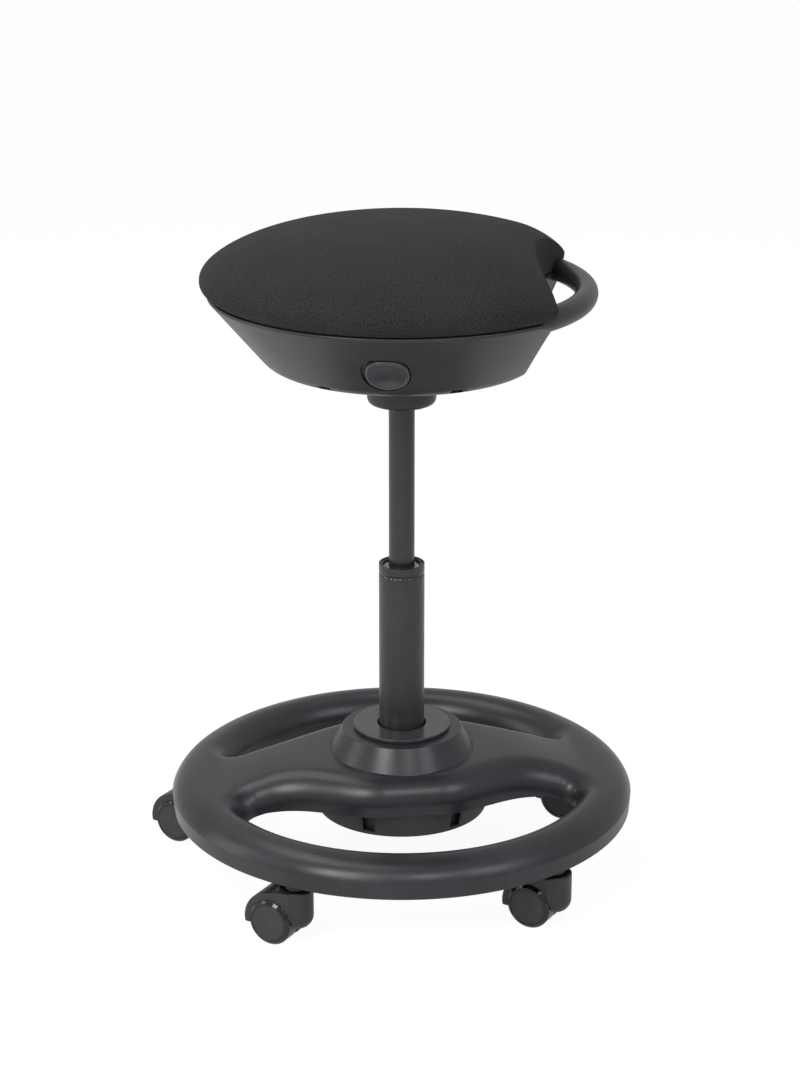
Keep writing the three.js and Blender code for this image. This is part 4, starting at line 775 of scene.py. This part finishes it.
def shellGrids():
    foot, wall = shell["foot"], shell["wall"]
    floorTop = foot + wall
    level = np.hypot(1, coneSlope) * wall
    ledge = shell["ledge"]
    recess = coneAt(ledge) - level
    lip = recess - 10
    rows = [(20.0, foot, 0), (60, foot, 0), (100, foot, 0), (116, foot, 0)]
    low = math.sqrt((button["windowLow"] - foot) / (shell["roundTop"] - foot))
    for t in np.linspace(0, low, 9)[:-1]:
        height = foot + (shell["roundTop"] - foot) * t ** 2
        rows.append((float(skinAt(height)), height, 2.5 * (1 - t / low) ** 2))
    windowRows = np.linspace(button["windowLow"], button["windowHigh"], 49)
    rows += [(float(skinAt(h)), h, 0) for h in windowRows]
    first = len(rows) - 49
    rows += [(coneAt(h), h, 0) for h in np.linspace(button["windowHigh"] + 2, shell["flareLow"] - 1, 6)]
    rim = softened([(coneAt(shell["flareLow"] - 0.5), shell["flareLow"] - 0.5),
                    (coneAt(shell["flareLow"]), shell["flareLow"], 0.4),
                    (shell["rimRadius"], shell["flareHigh"], 0.6),
                    (shell["rimRadius"], rimTop, shell["bead"]),
                    (shell["rimRadius"] - 5, rimTop)], 6, loop=False)
    beadFoot = rimTop - shell["bead"] - 0.2
    rows += [(r, h, max(0.0, (shell["rimRadius"] - r) * (h > beadFoot))) for r, h in rim[1:-1]]
    rows += [(recess + 0.6, rimTop - 0.1, wall - 0.6), (recess, rimTop - 0.6, wall), (recess, ledge + 0.2, wall),
             (recess - 0.2, ledge, wall + 0.2), (lip, ledge, wall + 8), (lip - 1, ledge - 8, wall + 8)]
    for h in (620, 606, 592):
        rows.append((coneAt(h) - level, h, wall))
    rows += [(shell["footRadius"] - 12, floorTop, wall + 3), (60, floorTop, 0), (20, floorTop, 0)]
    outlines, windowStart = [], 0
    for radius, height, inset in rows:
        outline, windowStart = notchedOutline(radius, height, inset)
        outlines.append(np.concatenate([outline, np.full((len(outline), 1), height)], 1))
    grid = np.stack(outlines)
    faces = gridFaces(grid.shape[0], grid.shape[1], True, True).reshape(grid.shape[0], grid.shape[1], 4)
    keep = np.ones(faces.shape[:2], bool)
    windowEnd, lastRow = windowStart + windowSteps, first + 48
    keep[first:lastRow, windowStart:windowEnd] = False
    # the window's edge, anticlockwise seen from outside, starting at its right side's middle
    bottom = grid[first, windowStart:windowEnd + 1]
    right = grid[first:lastRow + 1, windowEnd]
    top = grid[lastRow, windowStart:windowEnd + 1][::-1]
    left = grid[first:lastRow + 1, windowStart][::-1]
    edge = np.concatenate([bottom[:-1], right[:-1], top[:-1], left[:-1]])
    local = edge - padCentre
    u, v = local @ acrossPad - button["windowShift"], local @ upPad
    angles = np.arctan2(v / 30, u / 30)
    # the strip between the window's edge and the hole follows the skin, whose foot is a little inside the cone
    hole = [edge]
    for share in (0.3, 0.6, 0.82, 0.94, 1.0):
        pu, pv = padOutline(angles, button["gap"] + button["bezel"])
        place = ontoCone(u + (pu - u) * share + button["windowShift"], v + (pv - v) * share)
        inside = (coneAt(place[:, 2]) - skinAt(place[:, 2]))[:, None]
        hole.append(place - outPad * inside * 0.8)
    for share, drop in ((0.12, 0.1), (0.5, 0.55), (0.88, 1.1), (1.0, 1.5), (1.0, 2.4), (1.0, 12.0)):
        pu, pv = padOutline(angles, button["gap"] + button["bezel"] * (1 - share))
        onSkin = ontoCone(pu + button["windowShift"], pv)
        inside = (coneAt(onSkin[:, 2]) - skinAt(onSkin[:, 2]))[:, None] * 0.8
        hole.append(onSkin - outPad * (inside + button["bezelDepth"] * drop / 1.5))
    pu, pv = padOutline(angles, button["gap"] - 8)
    hole.append(onPad(pu, pv, np.full_like(pu, -20.0)))
    hole.append(np.repeat(onPad(np.zeros(1), np.zeros(1), np.full(1, -20.0)), len(pu), 0))
    return (grid, faces[keep]), (np.stack(hole), False, True)


def handleGrid():
    # A round bar swept along the rim's circle. Past its full part it thins with a smooth step 3t^2 - 2t^3 and
    # sinks into the rim, so that its outer side runs on into the rim's bead.
    full, reach = math.radians(shell["handleFull"]), math.radians(shell["handleReach"])
    along = np.linspace(-reach, reach, 161)
    t = np.clip((np.abs(along) - full) / (reach - full), 0, 1)
    blend = 3 * t ** 2 - 2 * t ** 3
    size = shell["handleBar"] + (shell["handleEnd"] - shell["handleBar"]) * blend
    middle = shell["handleRadius"] + (shell["rimRadius"] - shell["handleEnd"] - 0.6 - shell["handleRadius"]) * blend
    height = rimTop - (shell["handleEnd"] + 1.0) * blend
    along = np.concatenate([[-reach], along, [reach]])
    size = np.concatenate([[0.001], size, [0.001]])
    middle = np.concatenate([middle[:1], middle, middle[-1:]])
    height = np.concatenate([height[:1], height, height[-1:]])
    around = np.linspace(0, 2 * math.pi, 65)[:-1]
    r = middle[:, None] + size[:, None] * np.cos(around)
    return np.stack([r * np.cos(along)[:, None], r * np.sin(along)[:, None],
                     height[:, None] + size[:, None] * np.sin(around)], -1)


(skinPoints, skinFaces), (windowPoints, *windowLoops) = shellGrids()
seatShell = pieceFrom("seat_shell_skin", [
    (turnedBy(skinPoints, seatTurn), skinFaces), (turnedBy(windowPoints, seatTurn), *windowLoops)],
    "seat", mouldedShell, weld=0.02)


def snapSlotCutters():
    # four upright boxes through the rounded foot
    grids = []
    for angle in shell["slotAngles"]:
        half, low, high = shell["slotWidth"] / 2, shell["slotLow"], shell["slotHigh"]
        near, far = shell["slotReach"]
        loop = np.array([[near, -half], [far, -half], [far, half], [near, half]], float)
        levels = [np.concatenate([loop * k + [[(1 - k) * (near + far) / 2, 0]], np.full((4, 1), z)], 1)
                  for k, z in ((0, low), (1, low), (1, high), (0, high))]
        grids.append((turnedBy(np.stack(levels), math.radians(angle) + seatTurn), False, True))
    return grids


cutter = pieceFrom("snap_slots", snapSlotCutters(), "seat", mouldedShell)
addModifier(seatShell, "BOOLEAN", dict(operation="DIFFERENCE", object=cutter, solver="EXACT"))
applyModifiers(seatShell)
bpy.data.objects.remove(cutter)
handle = pieceFrom("handle_bar", [(turnedBy(handleGrid(), seatTurn), False, True)], "seat", mouldedShell)
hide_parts("seat_shell")
print("seat shell done:", len(seatShell.data.polygons), "faces")


def buttonGrid():
    angles = np.linspace(0, 2 * math.pi, 161)[:-1]
    rows = []
    # the thumb's dish is a bell, dish exp(-(u / wide)^2 - ((v + low) / tall)^2)
    for share in np.concatenate([[0.0], np.linspace(0.08, 0.88, 16)]):
        u, v = padOutline(angles, 0)
        u, v = u * share, v * share
        bell = np.exp(-(u / button["dishWide"]) ** 2 - ((v + button["dishLow"]) / button["dishTall"]) ** 2)
        rows.append(onPad(u, v, button["proud"] - button["dish"] * bell))
    for turn in np.linspace(0, math.pi / 2, 7):
        u, v = padOutline(angles, -button["edge"] * (1 - math.sin(turn)))
        rows.append(onPad(u, v, np.full_like(u, button["proud"] - button["edge"] * (1 - math.cos(turn)))))
    for depth in (-4.0, -13.0):
        u, v = padOutline(angles, 0)
        rows.append(onPad(u, v, np.full_like(u, depth)))
    rows.append(np.repeat(onPad(np.zeros(1), np.zeros(1), np.full(1, -13.0)), len(angles), 0))
    return np.stack(rows)


def stemGrid():
    profile = softened([(0.01, 11.0), (5, 11.0), (5, 28.0, 2.0), (4, 33.0, 2.0), (0.01, 33.0)], 4, loop=False)
    grid = turnedGrid(profile, 32)
    return padCentre + grid[..., 0:1] * acrossPad + grid[..., 1:2] * upPad - grid[..., 2:3] * outPad


releaseButton = pieceFrom("button_skin", [
    (turnedBy(buttonGrid(), seatTurn), False, True), (turnedBy(stemGrid(), seatTurn), False, True)],
    "button", mouldedButton)
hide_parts("release_button")
print("button done")

# ---- cushion ----

cushion = dict(radius=212.7, crown=71.5, bulgeHeight=14.0, footInset=11.0, notchGap=1.2, slope=0.38, pull=8.0,
               pullReach=46.0, pullShare=0.8, crease=2.4, swell=0.0030, nearCorner=3.5, farCorner=9.0, seam=0.8,
               seamSink=0.7)


def crownHeight(x, y):
    # dome (1 - r^4)^(1/2) (1 - slope r^2), sunk towards the notch over the pull's reach
    radius = cushion["radius"]
    share = np.clip(np.hypot(x, y) / radius, 0, 1)
    rise = (cushion["crown"] - cushion["bulgeHeight"]) * np.sqrt(1 - share ** 4) * (1 - cushion["slope"] * share ** 2)
    room = np.clip((notchWall(np.clip(y, -250, 250), rimTop) - x) / cushion["pullReach"], 0, 1)
    pull = np.minimum(cushion["pull"] * (1 - room) ** 2, cushion["pullShare"] * rise)
    return rimTop + 0.3 + cushion["bulgeHeight"] + rise - pull


def cushionOutline(radius, inset):
    # wall along the notch, rounded corners, then the arc
    near, far = cushion["nearCorner"], cushion["farCorner"]
    y = notchCorner(radius, rimTop, inset)
    cornerAngle = math.asin(y / radius)
    wallY = np.linspace(-y + near, y - far, 62)
    wall = np.stack([notchWall(wallY, rimTop) - inset, wallY], -1)
    a = np.linspace(cornerAngle + far / radius, 2 * math.pi - cornerAngle - near / radius, 230)
    arc = np.stack([radius * np.cos(a), radius * np.sin(a)], -1)
    tip = np.array([radius * math.cos(cornerAngle), y])
    return np.concatenate([wall, roundedCorner(wall[-1], tip, arc[0], 6), arc,
                           roundedCorner(arc[-1], tip * [1, -1], wall[0], 6)])


def cushionGrid():
    edge = cushionOutline(cushion["radius"], cushion["notchGap"])
    foot = rimTop + 0.3
    crownEdge = crownHeight(edge[:, 0], edge[:, 1])
    rows = []
    # foot and side: the arc bulges out as a quarter wave, the notch's wall stays upright
    for share, drawn in ((0, 1.0), (0.02, 0.97), (0.12, 0.72), (0.25, 0.46), (0.4, 0.24), (0.58, 0.08), (0.78, 0.01),
                         (0.92, 0.0)):
        plan = cushionOutline(cushion["radius"] - cushion["footInset"] * drawn, cushion["notchGap"] + 1.2 * drawn)
        height = foot + (crownEdge - foot) * share
        rows.append(np.concatenate([plan, height[:, None]], 1))
    # crown: the edge drawn towards the middle, with a small round along the crease
    for share in np.concatenate([[0.9995, 0.997, 0.992, 0.984, 0.972, 0.955], np.linspace(0.93, 0.02, 44)]):
        plan = edge * share
        room = np.maximum(notchWall(plan[:, 1], rimTop) - cushion["notchGap"] - plan[:, 0], 0)
        crease = cushion["crease"]
        drop = np.where(room < crease, crease - np.sqrt(np.maximum(crease ** 2 - (crease - room) ** 2, 0)), 0)
        rows.append(np.concatenate([plan, (crownHeight(plan[:, 0], plan[:, 1]) - drop)[:, None]], 1))
    under = [np.concatenate([edge * k, np.full((len(edge), 1), foot)], 1) for k in (0.001, 0.5, 0.9)]
    summit = np.concatenate([edge * 0.0005, np.full((len(edge), 1), rows[-1][:, 2].max())], 1)
    return np.stack(under + rows + [summit])


cushionPiece = pieceFrom("cushion_cover", [(turnedBy(cushionGrid(), seatTurn), False, True)], "seat", wovenCover,
                         weld=0.3)


def swellCushion(piece):
    # air pressure inside a pinned cover; points move by no more than the swell, so that the crease keeps its line
    mesh = piece.data
    count = len(mesh.vertices)
    rest = readPoints(mesh.vertices)
    local = turnedBy(rest / mm - columnAxis, -seatTurn)
    room = notchWall(np.clip(local[:, 1], -250, 250), rimTop) - local[:, 0]
    held = (local[:, 2] < rimTop + 4) | (room < 4)
    group = piece.vertex_groups.new(name="held")
    group.add(np.flatnonzero(held).tolist(), 1.0, "REPLACE")
    cloth = piece.modifiers.new("Cloth", "CLOTH")
    cloth.settings.effector_weights.gravity = 0.0
    for key, value in dict(use_pressure=True, uniform_pressure_force=4.0, vertex_group_mass="held",
                           tension_stiffness=40, compression_stiffness=40, bending_stiffness=8, quality=6).items():
        setattr(cloth.settings, key, value)
    cloth.collision_settings.use_collision = False
    for step in range(1, 21):
        bpy.context.scene.frame_set(step)
    graph = bpy.context.evaluated_depsgraph_get()
    swollen = readPoints(piece.evaluated_get(graph).data.vertices)
    piece.modifiers.clear()
    bpy.context.scene.frame_set(1)
    # only the way out along the normals is kept; it is evened over the neighbours and fades out by the crease and foot
    normals = readPoints(mesh.vertices, "normal")
    out = np.sum((swollen - rest) * normals, axis=1)
    largest = float(out.max())
    out = np.clip(out, 0, cushion["swell"])
    edges = np.empty(len(mesh.edges) * 2, int)
    mesh.edges.foreach_get("vertices", edges)
    a, b = edges[0::2], edges[1::2]
    fade = np.clip((room - 3) / 22, 0, 1) * np.clip((local[:, 2] - rimTop - 3) / 10, 0, 1)
    neighbours = np.bincount(a, minlength=count) + np.bincount(b, minlength=count)
    for _ in range(30):
        total = np.bincount(a, out[b], count) + np.bincount(b, out[a], count)
        out = 0.5 * out + 0.5 * total / np.maximum(neighbours, 1)
    mesh.vertices.foreach_set("co", (rest + normals * (out * fade)[:, None]).ravel())
    mesh.update()
    return largest


print("cushion swelled by up to", round(swellCushion(cushionPiece) * 1000, 1), "mm before the cap")


def clothMap(piece):
    # cloth coordinates in metres: the way out from the crown's middle, as long as the cloth runs over the dome
    mesh = piece.data
    local = turnedBy(readPoints(mesh.vertices) / mm - columnAxis, -seatTurn)
    # length s(r) of the dome's meridian, summed along it; below the crown the drop is added to it
    out = np.hypot(local[:, 0], local[:, 1])
    r = np.linspace(0, cushion["radius"], 2001)
    rise = (cushion["crown"] - cushion["bulgeHeight"]) * np.sqrt(1 - (r / cushion["radius"]) ** 4)
    rise = rise * (1 - cushion["slope"] * (r / cushion["radius"]) ** 2)
    length = np.concatenate([[0], np.cumsum(np.hypot(np.diff(r), np.diff(rise)))])
    drop = crownHeight(local[:, 0], local[:, 1]) - local[:, 2]
    run = np.interp(out, r, length) + np.maximum(drop - 1, 0)
    direction = local[:, :2] / np.maximum(out, 1e-6)[:, None]
    cloth = direction * run[:, None] * mm
    layer = mesh.uv_layers.new(name="cloth")
    corners = np.empty(len(mesh.loops), int)
    mesh.loops.foreach_get("vertex_index", corners)
    layer.data.foreach_set("uv", cloth[corners].ravel())


def creaseSeam():
    # a thin welt that stands in the cushion's crease: a round cord along the notch's wall
    size = cushion["seam"]
    y = np.linspace(-118, 118, 121)
    x = notchWall(y, rimTop) - cushion["notchGap"] - size
    path = np.stack([x, y, crownHeight(x, y) - cushion["seamSink"]], -1)
    along = np.gradient(path, axis=0)
    along /= np.linalg.norm(along, axis=1)[:, None]
    across = np.cross(along, [0, 0, 1.0])
    across /= np.linalg.norm(across, axis=1)[:, None]
    up = np.cross(across, along)
    turn = np.linspace(0, 2 * math.pi, 13)[:-1]
    thick = size * np.sin(np.linspace(0, math.pi, len(y))) ** 0.3
    thick[[0, -1]] = 0.001
    return path[:, None] + thick[:, None, None] * (np.cos(turn)[None, :, None] * across[:, None]
                                                   + np.sin(turn)[None, :, None] * up[:, None])


seam = pieceFrom("cushion_seam", [(turnedBy(creaseSeam(), seatTurn), False, True)], "seat", wovenCover)
clothMap(seam)
clothMap(cushionPiece)
addModifier(cushionPiece, "SUBSURF", dict(levels=1, render_levels=1))
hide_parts("cushion")
print("cushion done")

# ---- casters ----

caster = dict(trail=20.0, turn=math.radians(142), wheelRadius=25.0, wheelWidth=20.0, inner=4.5, wellRadius=28.6,
              wellRise=1.6, hoodRadius=32.5, hoodWidth=41.0, neckRadius=18.5, neckDrop=31.0, neckRound=14.0,
              height=62.0, edge=1.0, voxel=0.9)


def extruded(outline, width, edge, steps=5):
    # a flat outline spread along Y, its sides rounded by drawing the outline in as a quarter circle
    centre = outline.mean(0)
    along = np.roll(outline, -1, 0) - np.roll(outline, 1, 0)
    along /= np.linalg.norm(along, axis=1)[:, None]
    inward = np.stack([-along[:, 1], along[:, 0]], -1)
    levels = []
    turns = np.linspace(0, math.pi / 2, steps)
    half = width / 2
    for turn in turns:
        levels.append((outline + inward * edge * (1 - math.sin(turn)), -half + edge * (1 - math.cos(turn))))
    levels += [(plan, -y) for plan, y in levels[::-1]]
    points = [np.stack([plan[:, 0], np.full(len(plan), y), plan[:, 1]], -1) for plan, y in levels]
    first, last = (np.tile([centre[0], y, centre[1]], (len(outline), 1)) for y in (-half, half))
    return np.stack([first] + points + [last])


def hoodOutline():
    radius, trail, wheel = caster["hoodRadius"], caster["trail"], caster["wheelRadius"]
    a = np.radians(np.linspace(-12, 84, 40))
    over = np.stack([trail + radius * np.cos(a), wheel + radius * np.sin(a)], -1)
    rest = softened([tuple(over[-1]), (8, caster["height"] - 0.6, 6), (-4, caster["height"] - 0.6, 2), (-4, 20, 4),
                     (trail, wheel - 7, 6), tuple(over[0])], 6, loop=False)
    return np.concatenate([over, rest[1:-1]])


def plainObject(name, grid):
    faces = gridFaces(grid.shape[0], grid.shape[1], False, True)
    return placed(name, weldedMesh(name, grid.reshape(-1, 3) * mm, faces, 1e-6, degenerate=False))


def hoodPoints():
    # fender and neck joined, the two wheel wells and the stem's recess cut, then worked over to one moulded skin
    fender = plainObject("fender", extruded(hoodOutline(), caster["hoodWidth"], caster["edge"]))
    neckFoot = caster["height"] - caster["neckDrop"] - caster["neckRound"]
    start = caster["neckRadius"] - caster["neckRound"]
    under = np.radians(np.linspace(-90, 0, 14))
    neckProfile = np.concatenate([
        [[0.01, neckFoot]],
        np.stack([start + caster["neckRound"] * np.cos(under),
                  caster["height"] - caster["neckDrop"] + caster["neckRound"] * np.sin(under)], -1),
        softened([(caster["neckRadius"], 50), (caster["neckRadius"], caster["height"], 1.4),
                  (13.2, caster["height"], 0.8), (12.6, caster["height"] - 4.5, 0.8), (0.01, caster["height"] - 4.5)],
                 5, loop=False)])
    neck = plainObject("neck", turnedGrid(neckProfile, 96))
    cutters = []
    for side in (-1, 1):
        disc = [(0.01, 0), (caster["wellRadius"], 0, 0.6), (caster["wellRadius"], 40, 0.6), (0.01, 40)]
        grid = turnedGrid(softened(disc, 4, False), 96)
        grid = np.stack([grid[..., 0] + caster["trail"], side * (grid[..., 2] + 4.0),
                         grid[..., 1] + caster["wheelRadius"] + caster["wellRise"]], -1)
        cutters.append(plainObject("well", grid))
    cutters.append(plainObject("socket", turnedGrid(
        softened([(0.01, 57.5), (13, 57.5), (13, 70), (0.01, 70)], 3, False), 64)))
    for other in [neck] + cutters:
        kind = "UNION" if other == neck else "DIFFERENCE"
        addModifier(fender, "BOOLEAN", dict(operation=kind, object=other, solver="EXACT"))
    addModifier(fender, "REMESH", dict(mode="VOXEL", voxel_size=caster["voxel"] * mm, use_smooth_shade=True))
    addModifier(fender, "SMOOTH", dict(factor=0.5, iterations=4))
    applyModifiers(fender)
    for other in [neck] + cutters:
        bpy.data.objects.remove(other)
    mesh = fender.data
    bpy.data.objects.remove(fender)
    return readPoints(mesh.vertices) / mm, mesh


hoodShape, hoodMesh = hoodPoints()
print("hood worked out:", len(hoodMesh.polygons), "faces")


def wheelProfile():
    inner, outer = caster["inner"], caster["inner"] + caster["wheelWidth"]
    face = outer - 0.15
    return softened([(3.3, inner, 0.2), (25, inner, 1.2), (25, outer - 3.2, 1.2), (21.9, outer - 0.2, 0.7),
                     (20.4, outer, 0.2), (20.0, outer - 0.6, 0.2), (19.4, outer - 0.6, 0.1), (19.0, face, 0.15),
                     (16, face), (10, face), (4, face), (0.01, face), (0.01, 20.8), (3.3, 20.8)], 4)


def casterPlace(points, spot):
    # turned to the way that the wheels trail, then moved to the stem
    return turnedBy(points, caster["turn"]) + spot


wheelSection = wheelProfile()
for number, spot in enumerate(casterSpots, 1):
    mesh = hoodMesh.copy()
    mesh.vertices.foreach_set("co", ((casterPlace(hoodShape, spot) + columnAxis) * mm).ravel())
    mesh.materials.clear()
    mesh.materials.append(mouldedShell)
    hood = placed(f"hood_skin_{number}", mesh)
    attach(hood, f"caster_{number}")
    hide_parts(f"caster_hood_{number}")
    for side, label in ((1, "left"), (-1, "right")):
        grid = turnedGrid(wheelSection, 96)
        grid = np.stack([grid[..., 0] + caster["trail"], side * grid[..., 2],
                         grid[..., 1] + caster["wheelRadius"]], -1)
        wheel = pieceFrom(f"wheel_skin_{label}_{number}", [(casterPlace(grid, spot), True, True)],
                          f"wheel_{label}_{number}", polishedTread)
        wheel.data.materials.append(mouldedWheel)
        centres = readPoints(wheel.data.polygons, "center")
        local = turnedBy(centres / mm - columnAxis - spot, -caster["turn"])
        radial = np.hypot(local[:, 0] - caster["trail"], local[:, 2] - caster["wheelRadius"])
        face = (radial < 20.1) & (np.abs(local[:, 1]) > 22)
        wheel.data.polygons.foreach_set("material_index", face.astype(np.int32))
        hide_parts(f"caster_wheel_{label}_{number}")
    stemProfile = softened([(0.01, 50), (5.5, 50), (5.5, 62.3), (12, 62.3, 0.5), (12, 67.7, 0.5), (5.5, 67.7),
                            (5.5, 92, 0.6), (0.01, 92)], 4, loop=False)
    stem = pieceFrom(f"stem_skin_{number}", [(turnedGrid(stemProfile, 48) + spot, False, True)], "base",
                     phosphatedSteel)
    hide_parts(f"caster_stem_{number}")
print("casters done")

# ---- finishes of the frame's own pieces that stay ----

finishes = {
    phosphatedSteel: ["hub_sleeve", "mounting_plate", "rod_clip", "release_lever"],
    platedSteel: ["lower_bearing_race", "upper_bearing_race", "bearing_ball_cage", "piston_rod", "valve_pin",
                  "lever_pin"] + [f"plate_screw_{i}" for i in range(1, 5)] + [f"caster_axle_{i}" for i in range(1, 6)],
    mouldedRubber: ["bump_stop"],
    mouldedNylon: ["piston_gland"],
    sandedPly: ["seat_board"],
}
for material, nodes in finishes.items():
    for node in nodes:
        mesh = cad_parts[node].data
        mesh.materials.clear()
        mesh.materials.append(material)
print("finishes set")

# ---- floor, lights and camera ----


def whiteWhenSeen(tree, reflected):
    # 1 where the camera or a clear body looks at it, and the given share where a reflection does
    path = addNode(tree, "ShaderNodeLightPath")
    mirrored = addNode(tree, "ShaderNodeMath", {"operation": "MULTIPLY"},
                       {0: path.outputs["Is Glossy Ray"], 1: reflected})
    first = addNode(tree, "ShaderNodeMath", {"operation": "MAXIMUM"},
                    {0: path.outputs["Is Camera Ray"], 1: mirrored.outputs[0]})
    return addNode(tree, "ShaderNodeMath", {"operation": "MAXIMUM"},
                   {0: first.outputs[0], 1: path.outputs["Is Transmission Ray"]}).outputs[0]


def makeFloor():
    size = 12.0
    mesh = bpy.data.meshes.new("floor")
    mesh.from_pydata([(-size, -size, 0), (size, -size, 0), (size, size, 0), (-size, size, 0)], [], [(0, 1, 2, 3)])
    floor = placed("floor", mesh)
    # painted studio floor, matt white: its own shade stays in part, so that the object's shadow shows
    material, tree, output = newMaterial("matt_white_floor")
    paint = addNode(tree, "ShaderNodeBsdfDiffuse", None, {"Color": linear("#ececec")})
    glow = addNode(tree, "ShaderNodeEmission", None, {"Color": (1, 1, 1, 1), "Strength": 1.1})
    share = addNode(tree, "ShaderNodeMath", {"operation": "MULTIPLY"}, {0: whiteWhenSeen(tree, 0.35), 1: 0.85})
    mix = addNode(tree, "ShaderNodeMixShader", None,
                  {0: share.outputs[0], 1: paint.outputs[0], 2: glow.outputs[0]})
    tree.links.new(mix.outputs[0], output.inputs["Surface"])
    mesh.materials.append(material)


def makeWorld():
    world = bpy.data.worlds.new("studio")
    bpy.context.scene.world = world
    world.use_nodes = True
    tree = world.node_tree
    tree.nodes.clear()
    output = addNode(tree, "ShaderNodeOutputWorld")
    seen = addNode(tree, "ShaderNodeBackground", None, {"Color": (1, 1, 1, 1), "Strength": 1.0})
    fill = addNode(tree, "ShaderNodeBackground", None, {"Color": (1, 1, 1, 1), "Strength": 0.36})
    mix = addNode(tree, "ShaderNodeMixShader", None,
                  {0: whiteWhenSeen(tree, 0.4), 1: fill.outputs[0], 2: seen.outputs[0]})
    tree.links.new(mix.outputs[0], output.inputs["Surface"])


def softbox(name, place, target, size, power, colour="#ffffff"):
    lamp = bpy.data.lights.new(name, "AREA")
    lamp.shape = "RECTANGLE"
    lamp.size, lamp.size_y = size
    lamp.energy = power
    lamp.color = linear(colour)[:3]
    box = placed(name, lamp)
    box.location = place
    way = np.array(target, float) - np.array(place, float)
    flat = math.hypot(way[0], way[1])
    box.rotation_euler = (math.atan2(flat, -way[2]), 0, math.atan2(way[1], way[0]) - math.pi / 2)


makeFloor()
makeWorld()
# place and target in metres, size in metres, power in watts
softbox("left_softbox", (-1.5, -1.75, 1.95), (0, 0, 0.35), (0.9, 1.1), 33)
softbox("right_softbox", (1.45, -1.75, 1.95), (0, 0, 0.35), (0.8, 1.0), 15, "#e6e4fa")
softbox("front_softbox", (0.25, -2.5, 2.5), (0, 0, 0.35), (0.7, 0.7), 15)
softbox("top_softbox", (-0.6, 0.35, 2.6), (0, 0, 0.3), (1.5, 1.5), 20)
softbox("side_softbox", (-2.3, 0.2, 0.9), (0, 0, 0.35), (0.8, 1.6), 9)

camera = bpy.data.cameras.new("camera")
camera.lens = 87.72
camera.sensor_width = 36
camera.clip_end = 60
cameraObject = placed("camera", camera)
cameraObject.location = (-0.3542, -2.6570, 1.300)
cameraObject.rotation_euler = (math.radians(71.05), 0, math.radians(-7.8))
bpy.context.scene.camera = cameraObject
bpy.context.scene.view_settings.view_transform = "Standard"
print("floor, lights and camera ready")
